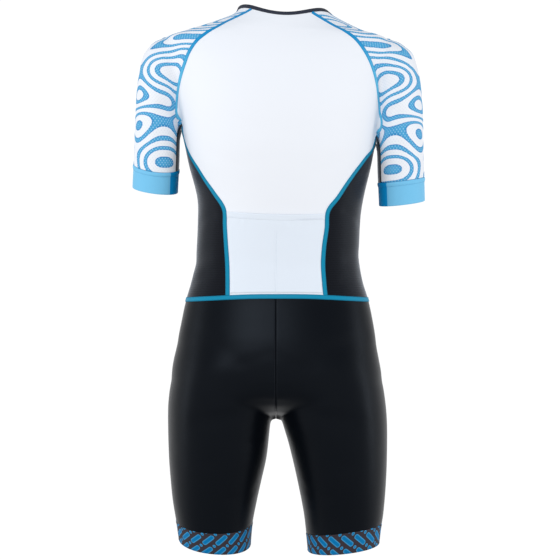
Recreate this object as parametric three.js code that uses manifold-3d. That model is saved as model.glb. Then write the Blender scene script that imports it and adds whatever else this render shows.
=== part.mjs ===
// A short-sleeved triathlon suit, filled out as it is when worn, with a hollow neck, cuffs and legs.
// Millimetres, +Z up. The front faces -Y and the wearer's left is +X.
// The origin lies between the shoulders, where the wearer's shoulders hold the suit up.
import * as THREE from 'three';
import { mergeVertices } from 'three/addons/utils/BufferGeometryUtils.js';
import Module from 'manifold-3d';

const wasm = await Module();
wasm.setup();

// Cloth and seams
const cloth = 1.5;          // wall of the knit panels
const seamGap = 0.3;        // space between the cut edges of two panels
const bodyTape = 7.6;       // width of the tape over the side and waist seams
const raglanTape = 6.2;     // width of the tape over the raglan seams
const tapeCloth = 0.6;      // thickness of the seam tapes
const tapeLift = 0.5;       // a tape's underside above the panel
const cuffCloth = 2;        // wall of the elastic sleeve cuffs and leg bands
const collarHeight = 6;
const collarCloth = 2;

// Horizontal sections of the filled suit: its reach to the left, right, front and back, and the
// power n of the rounded outline, where 2 is an ellipse and more is squarer.
const torso = [
  { z: 70, left: 60, right: -82, front: -58, back: 50, n: 2 },
  { z: 24, left: 66, right: -88, front: -66, back: 56, n: 2 },
  { z: 14, left: 78, right: -98, front: -69, back: 61, n: 1.9 },
  { z: 0, left: 116, right: -124, front: -74, back: 69, n: 1.8 },
  { z: -14, left: 160, right: -154, front: -80, back: 77, n: 1.9 },
  { z: -24, left: 188, right: -186, front: -85, back: 82, n: 2 },
  { z: -40, left: 196, right: -197, front: -91, back: 89, n: 2.1 },
  { z: -70, left: 190, right: -190, front: -100, back: 99, n: 2.3 },
  { z: -110, left: 178, right: -184, front: -108, back: 106, n: 2.4 },
  { z: -150, left: 167, right: -178, front: -113, back: 110, n: 2.4 },
  { z: -207, left: 156, right: -169, front: -116, back: 107, n: 2.4 },
  { z: -241, left: 149, right: -163, front: -114, back: 102, n: 2.4 },
  { z: -297, left: 135, right: -150, front: -109, back: 92, n: 2.3 },
  { z: -335, left: 134, right: -144.5, front: -105, back: 85, n: 2.3 },
  { z: -404, left: 138, right: -143, front: -102, back: 78, n: 2.3 },
  { z: -438, left: 144.5, right: -148, front: -102, back: 80, n: 2.3 },
  { z: -472, left: 154, right: -158, front: -102, back: 86, n: 2.3 },
  { z: -506, left: 161, right: -165, front: -102, back: 96, n: 2.3 },
  { z: -540, left: 167, right: -170, front: -102, back: 106, n: 2.3 },
  { z: -575, left: 169, right: -171, front: -101, back: 112, n: 2.3 },
  { z: -609, left: 158, right: -162, front: -98, back: 110, n: 2.2 },
  { z: -640, left: 120, right: -122, front: -82, back: 92, n: 2.1 },
  { z: -659, left: 62, right: -62, front: -42, back: 50, n: 2 },
  { z: -665, left: 30, right: -30, front: -16, back: 22, n: 2 },
  { z: -669, left: 3, right: -3, front: -1, back: 5, n: 2 },
];
const legLeft = [
  { z: -520, left: 130, right: 30, front: -50, back: 50, n: 2 },
  { z: -575, left: 168, right: 4, front: -84, back: 96, n: 2 },
  { z: -609, left: 178, right: 1, front: -92, back: 106, n: 2.1 },
  { z: -643, left: 183, right: 3, front: -95, back: 106, n: 2.1 },
  { z: -677, left: 184, right: 9, front: -93, back: 101, n: 2.1 },
  { z: -739, left: 182.5, right: 16, front: -88, back: 92, n: 2.1 },
  { z: -780, left: 179.5, right: 25, front: -82, back: 85, n: 2.1 },
  { z: -814, left: 176, right: 32.5, front: -77, back: 79, n: 2.1 },
  { z: -853, left: 169.5, right: 40, front: -70, back: 73, n: 2.1 },
  { z: -891, left: 164, right: 43.5, front: -65, back: 69, n: 2.1 },
  { z: -920, left: 161, right: 45, front: -62, back: 67, n: 2.1 },
];
const legRight = [
  { z: -520, left: -30, right: -130, front: -50, back: 50, n: 2 },
  { z: -575, left: -4, right: -168, front: -84, back: 96, n: 2 },
  { z: -609, left: -1, right: -180, front: -92, back: 106, n: 2.1 },
  { z: -643, left: -3, right: -186, front: -95, back: 106, n: 2.1 },
  { z: -677, left: -10, right: -189, front: -93, back: 101, n: 2.1 },
  { z: -718, left: -22, right: -189.5, front: -90, back: 95, n: 2.1 },
  { z: -775, left: -35.5, right: -188, front: -83, back: 86, n: 2.1 },
  { z: -833, left: -47, right: -183.5, front: -74, back: 76, n: 2.1 },
  { z: -865, left: -51, right: -178.5, front: -69, back: 72, n: 2.1 },
  { z: -901, left: -54.5, right: -174.5, front: -64, back: 69, n: 2.1 },
  { z: -920, left: -55, right: -173, front: -62, back: 67, n: 2.1 },
];
const armLeft = [
  { z: -25.5, left: 196, right: 186, front: -8, back: 2, n: 2 },
  { z: -31, left: 207, right: 148, front: -31, back: 25, n: 2 },
  { z: -40, left: 217, right: 132, front: -43, back: 38, n: 2 },
  { z: -55, left: 227, right: 128, front: -51, back: 47, n: 2 },
  { z: -80, left: 233, right: 140, front: -56, back: 52, n: 2 },
  { z: -110, left: 237.5, right: 153, front: -57, back: 53, n: 2 },
  { z: -160, left: 240.5, right: 162, front: -55, back: 51, n: 2 },
  { z: -198, left: 242, right: 164.5, front: -53, back: 49, n: 2 },
  { z: -238, left: 243.5, right: 165.5, front: -51, back: 47, n: 2 },
  { z: -290, left: 246, right: 168, front: -49, back: 45, n: 2 },
  { z: -320, left: 247, right: 169, front: -48, back: 44, n: 2 },
];
const armRight = [
  { z: -27.5, left: -188, right: -198, front: -8, back: 2, n: 2 },
  { z: -33, left: -148, right: -211.5, front: -31, back: 25, n: 2 },
  { z: -40, left: -134, right: -221, front: -42, back: 37, n: 2 },
  { z: -52, left: -130, right: -233.5, front: -50, back: 46, n: 2 },
  { z: -73, left: -138, right: -241, front: -56, back: 52, n: 2 },
  { z: -102, left: -156, right: -247, front: -57, back: 53, n: 2 },
  { z: -150, left: -168, right: -251, front: -56, back: 52, n: 2 },
  { z: -206, left: -172.5, right: -252, front: -54, back: 50, n: 2 },
  { z: -258, left: -174, right: -253.5, front: -51, back: 47, n: 2 },
  { z: -302, left: -176, right: -254.5, front: -49, back: 45, n: 2 },
  { z: -330, left: -177, right: -255, front: -48, back: 44, n: 2 },
];
const legBlend = 8;         // rounding between the two legs
const hipBlend = 24;        // rounding between the legs and the torso
const armBlend = 8;         // rounding between the arms and the torso

// The largest folds, each a soft trough (depth over 0) or ridge along a line on the cloth.
const folds = [
  { at: 'left armpit, back', x1: 186, y1: 52, z1: -150, x2: 163, y2: 26, z2: -172, width: 11, depth: 3 },
  { at: 'left armpit, front', x1: 188, y1: -56, z1: -148, x2: 163, y2: -28, z2: -172, width: 11, depth: 3 },
  { at: 'right armpit, back', x1: -196, y1: 52, z1: -158, x2: -175, y2: 30, z2: -184, width: 11, depth: 2.5 },
  { at: 'right armpit, front', x1: -198, y1: -56, z1: -156, x2: -175, y2: -32, z2: -184, width: 11, depth: 2.5 },
  { at: 'right sleeve, back', x1: -216, y1: 52, z1: -118, x2: -190, y2: 51, z2: -162, width: 10, depth: -1.6 },
  { at: 'left waist', x1: 126, y1: 50, z1: -398, x2: 134, y2: -20, z2: -412, width: 14, depth: 1.6 },
  { at: 'right waist', x1: -128, y1: 48, z1: -404, x2: -138, y2: -24, z2: -392, width: 14, depth: 1.6 },
  { at: 'under the seat, left', x1: 40, y1: 98, z1: -655, x2: 120, y2: 100, z2: -668, width: 16, depth: 2 },
  { at: 'under the seat, right', x1: -40, y1: 98, z1: -655, x2: -120, y2: 100, z2: -668, width: 16, depth: 2 },
  { at: 'left groin', x1: 14, y1: -84, z1: -630, x2: 96, y2: -92, z2: -585, width: 14, depth: 2.4 },
  { at: 'right groin', x1: -14, y1: -84, z1: -630, x2: -98, y2: -92, z2: -585, width: 14, depth: 2.4 },
];

// Seams, each a row of points that the cloth's surface is then found from.
const raglanLines = { left: {}, right: {} };
raglanLines.left.back = [
  { x: 75, y: 50, z: -1 }, { x: 103, y: 63, z: -20 }, { x: 127, y: 67, z: -35 },
  { x: 143, y: 69, z: -56 }, { x: 155, y: 65, z: -87 }, { x: 164, y: 53, z: -112 },
  { x: 168, y: 42, z: -135 }, { x: 166, y: 31, z: -160 },
];
raglanLines.right.back = [
  { x: -88, y: 53, z: -6 }, { x: -111, y: 61, z: -22 }, { x: -131, y: 65, z: -36 },
  { x: -148, y: 66, z: -57 }, { x: -160, y: 62, z: -80 }, { x: -169, y: 53, z: -110 },
  { x: -175, y: 43, z: -140 }, { x: -176, y: 32, z: -172 },
];
raglanLines.left.front = [
  { x: 66, y: -70, z: -38 }, { x: 94, y: -80, z: -56 }, { x: 120, y: -84, z: -76 },
  { x: 138, y: -80, z: -96 }, { x: 152, y: -70, z: -116 }, { x: 162, y: -56, z: -136 },
  { x: 166, y: -42, z: -154 }, { x: 165, y: -31, z: -170 },
];
raglanLines.right.front = [
  { x: -84, y: -70, z: -42 }, { x: -106, y: -78, z: -58 }, { x: -128, y: -82, z: -76 },
  { x: -146, y: -79, z: -96 }, { x: -160, y: -69, z: -118 }, { x: -170, y: -56, z: -142 },
  { x: -175, y: -43, z: -164 }, { x: -176, y: -32, z: -184 },
];
const sideLines = {};              // behind; the front ones mirror them
sideLines.left = [
  { x: 154, y: 24, z: -208 }, { x: 138, y: 46, z: -240 }, { x: 116, y: 60, z: -278 },
  { x: 96, y: 68, z: -306 }, { x: 84.5, y: 70, z: -326 }, { x: 85, y: 67, z: -350 },
  { x: 82, y: 66, z: -400 }, { x: 80, y: 74, z: -466 },
];
sideLines.right = [
  { x: -166, y: 28, z: -214 }, { x: -148, y: 54, z: -238 }, { x: -124, y: 66, z: -270 },
  { x: -104, y: 71, z: -300 }, { x: -86, y: 73, z: -324 }, { x: -85, y: 71, z: -346 },
  { x: -79, y: 69, z: -398 }, { x: -82, y: 74, z: -466 },
];
const raglanSteps = 12;     // rows of cloth from collar to armpit
const sideSteps = 11;       // rows of cloth from armpit to waist

// The sleeve's outer line, from the neck over the shoulder to the height of the armpit
const crestLines = {};
crestLines.left = [
  { x: 95, z: 8 }, { x: 130, z: -5 }, { x: 168, z: -16 }, { x: 195, z: -25 }, { x: 214, z: -36 },
  { x: 226, z: -53 }, { x: 232, z: -78 }, { x: 237, z: -108 }, { x: 240, z: -140 }, { x: 241, z: -172 },
];
crestLines.right = [
  { x: -116, z: 3 }, { x: -145, z: -9 }, { x: -172, z: -19 }, { x: -198, z: -28 }, { x: -218, z: -38 },
  { x: -232, z: -52 }, { x: -240, z: -74 }, { x: -246, z: -102 }, { x: -251, z: -146 }, { x: -252, z: -190 },
];
const crestDepth = -5;
const crestPull = 0.15;     // how far toward this line a sleeve's rows have their middle

// The neckline runs round a neck axis: its height is a round of sines and cosines of the angle,
// high at both sides, lower behind and lowest in front.
const neckAxis = { x: -11, y: -4 };
const neckline = { mean: -0.9, backLift: 21.75, leftLift: 3.5, sideLift: 17.4 };
const raglanAngle = { backLeft: 43, frontLeft: -52, backRight: 132, frontRight: 232 };
const armpit = { left: { x: 162, y: 18 }, right: { x: -171, y: 18 }, above: -150 };
const crownGap = 0.35;      // from the crown line of the armpit to the cloth on each side of it
const crownReach = 16.8;    // how far the crown line runs to the back and to the front

// Waist, hem and cuff lines, each a tilted plane: z at x = y = 0 of its own limb's centre.
const waist = { z: -465, sideDrop: 6 };
const legBandTop = {
  left: { z: -847.7, x: 105, perX: 0.041, perY: -0.153 },
  right: { z: -861, x: -115, perX: -0.13, perY: 0.04 },
};
const hem = {
  left: { z: -884.5, x: 105, perX: 0.09, perY: -0.133 },
  right: { z: -893.2, x: -115, perX: -0.113, perY: 0 },
};
const cuffTop = {
  left: { z: -244.5, x: 204, perX: 0.14, perY: -0.27 },
  right: { z: -266.5, x: -213, perX: -0.13, perY: -0.11 },
};
const cuffEnd = {
  left: { z: -284.5, x: 204, perX: 0.14, perY: -0.2 },
  right: { z: -307, x: -213, perX: -0.12, perY: -0.116 },
};
const underarm = { back: 152, front: 208 };   // edges of the underarm gusset, degrees round the arm

// Rear pocket and front zip
const pocket = { top: -326, hem: 9.5, hemProud: 0.5, cloth: 1.2, lift: 0.35, sideClear: 0.5 };
const zip = { x: -8, width: 8, stand: 0.9, teethShare: 0.7, edgeGap: 0.3, sliderDrop: 12 };
const slider = { width: 9, length: 11, height: 3.2, lift: 0.3 };
const bail = { width: 3, gap: 2.4, bar: 0.8 };
const pull = { width: 6.4, length: 25, thick: 1.2, bar: 1.2, eyeWidth: 4, eyeLength: 3.2 };

const white = new THREE.MeshStandardMaterial({ color: 0xf7f8fb, roughness: 0.8, metalness: 0 });
const ribbedBlack = new THREE.MeshStandardMaterial({ color: 0x17191f, roughness: 0.6, metalness: 0 });
const shortsBlack = new THREE.MeshStandardMaterial({ color: 0x0d1016, roughness: 0.55, metalness: 0 });
const sleevePrint = new THREE.MeshStandardMaterial({ color: 0x8fc4e2, roughness: 0.8, metalness: 0 });
const lightBlue = new THREE.MeshStandardMaterial({ color: 0x7ec8ee, roughness: 0.7, metalness: 0 });
const bandBrown = new THREE.MeshStandardMaterial({ color: 0x3c343a, roughness: 0.7, metalness: 0 });
const brightBlue = new THREE.MeshStandardMaterial({ color: 0x008ccd, roughness: 0.5, metalness: 0 });
const teal = new THREE.MeshStandardMaterial({ color: 0x0078a5, roughness: 0.5, metalness: 0 });
const collarDark = new THREE.MeshStandardMaterial({ color: 0x2d303c, roughness: 0.7, metalness: 0 });
const zipDark = new THREE.MeshStandardMaterial({ color: 0x1a1c20, roughness: 0.4, metalness: 0 });
const zipMetal = new THREE.MeshStandardMaterial({ color: 0x3a3d42, roughness: 0.35, metalness: 0.6 });

const vector = (x, y, z) => new THREE.Vector3(x, y, z);
const radians = THREE.MathUtils.degToRad;

// The section of a table at height z, on smooth curves through its rows, and how far z is past them.
const sectionKeys = ['left', 'right', 'front', 'back', 'n'];
for (const rows of [torso, legLeft, legRight, armLeft, armRight]) {
  rows.forEach((row, i) => {
    const before = rows[Math.max(i - 1, 0)];
    const after = rows[Math.min(i + 1, rows.length - 1)];
    row.slope = {};
    for (const key of sectionKeys) row.slope[key] = (after[key] - before[key]) / (after.z - before.z);
  });
}
function sectionAt(rows, z) {
  const held = THREE.MathUtils.clamp(z, rows[rows.length - 1].z, rows[0].z);
  let i = 0;
  while (i < rows.length - 2 && rows[i + 1].z > held) i += 1;
  const a = rows[i];
  const b = rows[i + 1];
  const span = b.z - a.z;
  const t = (held - a.z) / span;
  const towardB = t * t * (3 - 2 * t);
  const leaveA = t * (1 - t) * (1 - t) * span;
  const reachB = t * t * (t - 1) * span;
  const section = { past: Math.abs(z - held) };
  for (const key of sectionKeys) {
    section[key] = a[key] * (1 - towardB) + b[key] * towardB + a.slope[key] * leaveA + b.slope[key] * reachB;
  }
  return section;
}

// How far a point lies outside a limb (over 0) or inside it (under 0), measured from its axis.
function outsideLimb(rows, x, y, z) {
  const s = sectionAt(rows, z);
  const dx = x - (s.left + s.right) / 2;
  const dy = y - (s.front + s.back) / 2;
  const halfWidth = (s.left - s.right) / 2;
  const halfDepth = (s.back - s.front) / 2;
  const reach = Math.hypot(dx, dy);
  if (reach < 0.01) return s.past - Math.min(halfWidth, halfDepth);
  const share = Math.pow(
    Math.pow(Math.abs(dx) / halfWidth, s.n) + Math.pow(Math.abs(dy) / halfDepth, s.n), 1 / s.n);
  return reach - reach / share + s.past;
}

// The smaller of two distances, rounded where they are near each other.
function blend(a, b, radius) {
  const near = Math.max(radius - Math.abs(a - b), 0);
  return Math.min(a, b) - near * near / (4 * radius);
}

function foldDepth(x, y, z) {
  let depth = 0;
  for (const f of folds) {
    const ux = f.x2 - f.x1;
    const uy = f.y2 - f.y1;
    const uz = f.z2 - f.z1;
    const along = ((x - f.x1) * ux + (y - f.y1) * uy + (z - f.z1) * uz) / (ux * ux + uy * uy + uz * uz);
    const t = THREE.MathUtils.clamp(along, 0, 1);
    const dx = x - f.x1 - t * ux;
    const dy = y - f.y1 - t * uy;
    const dz = z - f.z1 - t * uz;
    depth += f.depth * Math.exp(-(dx * dx + dy * dy + dz * dz) / (f.width * f.width));
  }
  return depth;
}

// How far a point lies outside the filled suit: its outer surface is where this is 0.
function outside(p) {
  const legs = blend(outsideLimb(legLeft, p.x, p.y, p.z), outsideLimb(legRight, p.x, p.y, p.z), legBlend);
  const body = blend(outsideLimb(torso, p.x, p.y, p.z), legs, hipBlend);
  const arms = Math.min(outsideLimb(armLeft, p.x, p.y, p.z), outsideLimb(armRight, p.x, p.y, p.z));
  return blend(body, arms, armBlend) + foldDepth(p.x, p.y, p.z);
}
function outward(p) {
  const step = 0.5;
  const slope = (dx, dy, dz) => outside(vector(p.x + dx, p.y + dy, p.z + dz))
    - outside(vector(p.x - dx, p.y - dy, p.z - dz));
  return vector(slope(step, 0, 0), slope(0, step, 0), slope(0, 0, step));
}
const normalAt = (p) => outward(p).normalize();

// The nearest point of the surface, by short steps down the slope of the distance.
function onSurface(point) {
  const p = vector(point.x, point.y, point.z);
  for (let i = 0; i < 8; i += 1) {
    const slope = outward(p);
    p.addScaledVector(slope, -outside(p) / slope.lengthSq());
  }
  return p;
}

// The first point of the surface that a ray from inside the suit meets.
function rayOut(origin, direction) {
  const p = origin.clone();
  let reach = 0;
  let step = 0;
  let value = outside(p);
  while (value < 0 && reach < 500) {
    step = THREE.MathUtils.clamp(-0.5 * value, 0.5, 12);
    reach += step;
    value = outside(p.copy(origin).addScaledVector(direction, reach));
  }
  let low = reach - step;
  let high = reach;
  for (let i = 0; i < 18; i += 1) {
    const middle = (low + high) / 2;
    if (outside(p.copy(origin).addScaledVector(direction, middle)) < 0) low = middle;
    else high = middle;
  }
  return origin.clone().addScaledVector(direction, low);
}

// A row of surface points seen from one origin, turning from one point to another past a third.
const rowSamples = 48;
function rowRound(origin, from, past, to) {
  const ahead = past.clone().sub(origin).normalize();
  const side = from.clone().sub(to);
  side.addScaledVector(ahead, -side.dot(ahead)).normalize();
  const angleOf = (p) => Math.atan2(p.clone().sub(origin).dot(side), p.clone().sub(origin).dot(ahead));
  const start = angleOf(from);
  const end = angleOf(to);
  const points = [];
  for (let i = 0; i <= rowSamples; i += 1) {
    const angle = THREE.MathUtils.lerp(start, end, i / rowSamples);
    const direction = ahead.clone().multiplyScalar(Math.cos(angle)).addScaledVector(side, Math.sin(angle));
    points.push(rayOut(origin, direction));
  }
  points[0] = from.clone();
  points[rowSamples] = to.clone();
  return points;
}

// Points along a row at set distances from its start.
function spaced(points, distances) {
  const lengths = [0];
  for (let i = 1; i < points.length; i += 1) lengths.push(lengths[i - 1] + points[i].distanceTo(points[i - 1]));
  return distances(lengths[lengths.length - 1]).map((distance) => {
    let i = 1;
    while (i < points.length - 1 && lengths[i] < distance) i += 1;
    const t = (distance - lengths[i - 1]) / (lengths[i] - lengths[i - 1]);
    return points[i - 1].clone().lerp(points[i], t);
  });
}
// Distances that leave the seam's gap at each end, then a tape's half width, then even columns.
const panelSpacing = (columns, startTape, endTape) => (length) => {
  const edge = seamGap / 2;
  const list = [edge, startTape / 2 + edge];
  for (let i = 1; i < columns; i += 1) {
    list.push(THREE.MathUtils.lerp(startTape / 2 + edge, length - endTape / 2 - edge, i / columns));
  }
  list.push(length - endTape / 2 - edge, length - edge);
  return list;
};
const evenSpacing = (columns, edge) => (length) => {
  const list = [];
  for (let i = 0; i <= columns; i += 1) list.push(THREE.MathUtils.lerp(edge, length - edge, i / columns));
  return list;
};

// A closed solid from an outer and an inner sheet of points. From row joinFrom on, the last column
// is the first one again, so the sheet closes into a tube there.
function sheetSolid(name, outer, inner, material, joinFrom = Infinity) {
  const columns = outer[0].length;
  const last = columns - 1;
  const positions = [];
  const index = [];
  [outer, inner].forEach((sheet, layer) => {
    index[layer] = sheet.map((row, r) => row.map((p, c) => {
      if (c === last && r >= joinFrom) return -1;
      positions.push(p.x, p.y, p.z);
      return positions.length / 3 - 1;
    }));
    index[layer].forEach((row) => {
      if (row[last] === -1) row[last] = row[0];
    });
  });
  const triangles = [];
  const quad = (a, b, c, d) => triangles.push(a, b, c, a, c, d);
  const rows = outer.length;
  for (let r = 0; r < rows - 1; r += 1) {
    for (let c = 0; c < last; c += 1) {
      quad(index[0][r][c], index[0][r][c + 1], index[0][r + 1][c + 1], index[0][r + 1][c]);
      quad(index[1][r][c], index[1][r + 1][c], index[1][r + 1][c + 1], index[1][r][c + 1]);
    }
    if (r < joinFrom) {
      quad(index[0][r][0], index[0][r + 1][0], index[1][r + 1][0], index[1][r][0]);
      quad(index[0][r][last], index[1][r][last], index[1][r + 1][last], index[0][r + 1][last]);
    }
  }
  for (let c = 0; c < last; c += 1) {
    quad(index[0][0][c], index[1][0][c], index[1][0][c + 1], index[0][0][c + 1]);
    quad(index[0][rows - 1][c], index[0][rows - 1][c + 1], index[1][rows - 1][c + 1], index[1][rows - 1][c]);
  }
  const real = [];
  for (let i = 0; i < triangles.length; i += 3) {
    const [a, b, c] = triangles.slice(i, i + 3);
    if (a !== b && b !== c && a !== c) real.push([a, b, c]);
  }
  const corner = (i) => vector(positions[3 * i], positions[3 * i + 1], positions[3 * i + 2]);
  let volume = 0;
  for (const [a, b, c] of real) volume += corner(a).dot(corner(b).cross(corner(c)));
  const facing = volume < 0 ? real.map(([a, b, c]) => [a, c, b]) : real;
  const geometry = new THREE.BufferGeometry();
  geometry.setAttribute('position', new THREE.Float32BufferAttribute(positions, 3));
  geometry.setIndex(facing.flat());
  const mesh = new THREE.Mesh(geometry, material);
  mesh.name = name;
  return mesh;
}
const movedOut = (sheet, distance) => sheet.map((row) => row.map(
  (p) => p.clone().addScaledVector(normalAt(p), distance)));

// Heights of the neckline and of the tilted lines
function necklineHeight(angle) {
  return neckline.mean + neckline.backLift * Math.sin(angle) + neckline.leftLift * Math.cos(angle)
    + neckline.sideLift * Math.cos(2 * angle);
}
function necklinePoint(degrees, lift = 0) {
  const angle = radians(degrees);
  const z = necklineHeight(angle) + lift;
  return rayOut(vector(neckAxis.x, neckAxis.y, z), vector(Math.cos(angle), Math.sin(angle), 0));
}
function necklineRow(fromDegrees, toDegrees) {
  const points = [];
  for (let i = 0; i <= rowSamples; i += 1) {
    points.push(necklinePoint(THREE.MathUtils.lerp(fromDegrees, toDegrees, i / rowSamples), -seamGap / 2));
  }
  return points;
}
const planeHeight = (plane, x, y) => plane.z + plane.perX * (x - plane.x) + plane.perY * y;

// The crown of the armpit, where body and arm part: straight down from inside, at depth y.
function armpitPoint(x, y) {
  return rayOut(vector(x, y, armpit.above), vector(0, 0, -1));
}

// Seams as rows of surface points, evenly spaced from end to end.
function seamPoints(start, rows, end, steps) {
  const path = new THREE.CatmullRomCurve3([start, ...rows.map((r) => vector(r.x, r.y, r.z)), end]);
  return path.getSpacedPoints(steps).map(onSurface);
}
function bodySeam(side, face) {
  const left = side === 'left';
  const toward = face === 'back' ? 1 : -1;
  const below = sideLines[side].map((r) => ({ x: r.x, y: toward * r.y, z: r.z }));
  const top = necklinePoint(raglanAngle[face + (left ? 'Left' : 'Right')], -seamGap / 2);
  const pit = armpit[side];
  const corner = armpitPoint(pit.x, toward * pit.y);
  const upper = seamPoints(top, raglanLines[side][face], corner, raglanSteps);
  upper[0] = top;
  upper[raglanSteps] = corner;
  const foot = below.pop();
  const lower = seamPoints(corner, below, vector(foot.x, foot.y, foot.z), sideSteps);
  lower[0] = corner;
  return { upper, lower, all: [...upper, ...lower.slice(1)] };
}
const seams = {};
for (const side of ['left', 'right']) {
  seams[side] = { back: bodySeam(side, 'back'), front: bodySeam(side, 'front') };
}

// Torso rows, from the neckline down. Each runs from one seam to the other as seen from the
// suit's middle, at a height that goes evenly from one end's to the other's.
const torsoRows = raglanSteps + sideSteps;
const bodyAxis = -6;
const waistHeight = (degrees) => waist.z - waist.sideDrop * Math.pow(Math.cos(radians(degrees)), 4);
const necklineRows = 4;     // rows over which the neckline's curve dies away
function torsoRow(row, from, to) {
  const angleOf = (p) => THREE.MathUtils.radToDeg(Math.atan2(p.y, p.x - bodyAxis));
  const start = angleOf(from);
  let end = angleOf(to);
  if (end - start > 180) end -= 360;
  if (start - end > 180) end += 360;
  const points = [];
  for (let i = 0; i <= rowSamples; i += 1) {
    const t = i / rowSamples;
    const degrees = THREE.MathUtils.lerp(start, end, t);
    const angle = radians(degrees);
    const straight = THREE.MathUtils.lerp(from.z, to.z, t);
    const level = row === torsoRows ? waistHeight(degrees) + seamGap / 2 : straight;
    const curved = necklineHeight(angle) - THREE.MathUtils.lerp(
      necklineHeight(radians(start)), necklineHeight(radians(end)), t);
    const fade = Math.max(0, 1 - row / necklineRows);
    const z = level + curved * fade * fade;
    points.push(rayOut(vector(bodyAxis, 0, z), vector(Math.cos(angle), Math.sin(angle), 0)));
  }
  if (row < torsoRows) {
    points[0] = from.clone();
    points[rowSamples] = to.clone();
  }
  return points;
}

const suit = new THREE.Group();
const rigid = new THREE.Group();
suit.add(rigid);
function addPanel(name, outer, material, inner = movedOut(outer, -cloth)) {
  rigid.add(sheetSolid(name, outer, inner, material));
}

// Back panel, from raglan to raglan and from side seam to side seam
const backColumns = 12;
const backSheet = [];
for (let r = 0; r <= torsoRows; r += 1) {
  const left = seams.left.back.all[r];
  const right = seams.right.back.all[r];
  const row = r === 0 ? necklineRow(raglanAngle.backLeft, raglanAngle.backRight) : torsoRow(r, left, right);
  const tape = r < raglanSteps ? raglanTape : bodyTape;
  backSheet.push(spaced(row, panelSpacing(backColumns, tape, tape)));
}
addPanel('back_panel', backSheet, white);

// Front panels, from the front raglan and side seams to the zip
const frontColumns = 6;
const zipDegrees = -87.8;   // where the zip meets the neckline, round the neck axis
const zipTurn = 3.4;        // from there to the end of the collar
const frontSheets = {};
const zipEdge = (side, z) => {
  const x = zip.x + (side === 'left' ? 1 : -1) * zip.width / 2;
  return rayOut(vector(x, 0, z), vector(0, -1, 0));
};
for (const side of ['left', 'right']) {
  const seam = seams[side].front.all;
  const sheet = [];
  const top = zipEdge(side, necklineHeight(radians(-90)) - seamGap / 2);
  const raglanEnd = side === 'left' ? raglanAngle.frontLeft : raglanAngle.frontRight - 360;
  for (let r = 0; r <= torsoRows; r += 1) {
    const share = r / torsoRows;
    const z = THREE.MathUtils.lerp(top.z, waist.z, share * (0.55 + 0.45 * share));
    const edge = r === 0 ? top : zipEdge(side, r === torsoRows ? waist.z + seamGap / 2 : z);
    const middle = zipDegrees + (side === 'left' ? zipTurn : -zipTurn);
    const row = r === 0 ? [...necklineRow(raglanEnd, middle), edge] : torsoRow(r, seam[r], edge);
    const tape = r < raglanSteps ? raglanTape : bodyTape;
    sheet.push(spaced(row, panelSpacing(frontColumns, tape, 2)));
  }
  frontSheets[side] = sheet;
  addPanel(`front_panel_${side}`, sheet, white);
}

// The inner sheet of a panel that starts at the armpit's crown: there it lies straight beside the
// outer one, toward the arm or toward the body, so that the two never cross.
const armSign = { left: 1, right: -1 };
function linedFromCrown(outer, toward) {
  const inner = movedOut(outer, -cloth);
  inner[0] = outer[0].map((p) => vector(p.x + toward * cloth, p.y, p.z));
  return inner;
}

// Side panels, from the armpit's crown to the waist
const sideColumns = 7;
const sideSheets = {};
for (const side of ['left', 'right']) {
  const { back, front } = seams[side];
  const pit = armpit[side];
  const sheet = [];
  for (let r = 0; r <= sideSteps; r += 1) {
    let row;
    if (r === 0) {
      row = [];
      for (let i = 0; i <= rowSamples; i += 1) {
        const crown = armpitPoint(pit.x, THREE.MathUtils.lerp(crownReach, -crownReach, i / rowSamples));
        crown.x -= Math.sign(pit.x) * crownGap;
        row.push(crown);
      }
    } else row = torsoRow(raglanSteps + r, back.lower[r], front.lower[r]);
    sheet.push(spaced(row, panelSpacing(sideColumns, bodyTape, bodyTape)));
  }
  sideSheets[side] = sheet;
  addPanel(`side_panel_${side}`, sheet, ribbedBlack, linedFromCrown(sheet, -armSign[side]));
}

// Tapes lie over the seams, each on the points of the two panels that it joins, moved out.
function sheetPoint(sheet, row, column) {
  const r = Math.min(Math.floor(row), sheet.length - 2);
  const c = Math.min(Math.floor(column), sheet[0].length - 2);
  const upper = sheet[r][c].clone().lerp(sheet[r][c + 1], column - c);
  const lower = sheet[r + 1][c].clone().lerp(sheet[r + 1][c + 1], column - c);
  return upper.lerp(lower, row - r);
}
function rowList(first, last) {
  const rows = [first];
  for (let r = Math.floor(first) + 1; r < last; r += 1) rows.push(r);
  return [...rows, last];
}
function addTape(name, one, other, rows, material) {
  const across = rows.map((r) => {
    const edgeOne = sheetPoint(one.sheet, r + one.rowShift, one.edge);
    const edgeOther = sheetPoint(other.sheet, r + other.rowShift, other.edge);
    return [
      sheetPoint(one.sheet, r + one.rowShift, one.tape),
      edgeOne.lerp(edgeOther, 0.5),
      sheetPoint(other.sheet, r + other.rowShift, other.tape),
    ];
  });
  const under = movedOut(across, tapeLift);
  const over = movedOut(across, tapeLift + tapeCloth);
  rigid.add(sheetSolid(name, over, under, material));
}
const startOf = (sheet, rowShift = 0) => ({ sheet, rowShift, edge: 0, tape: 1 });
const endOf = (sheet, rowShift = 0) => {
  const last = sheet[0].length - 1;
  return { sheet, rowShift, edge: last, tape: last - 1 };
};

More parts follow.
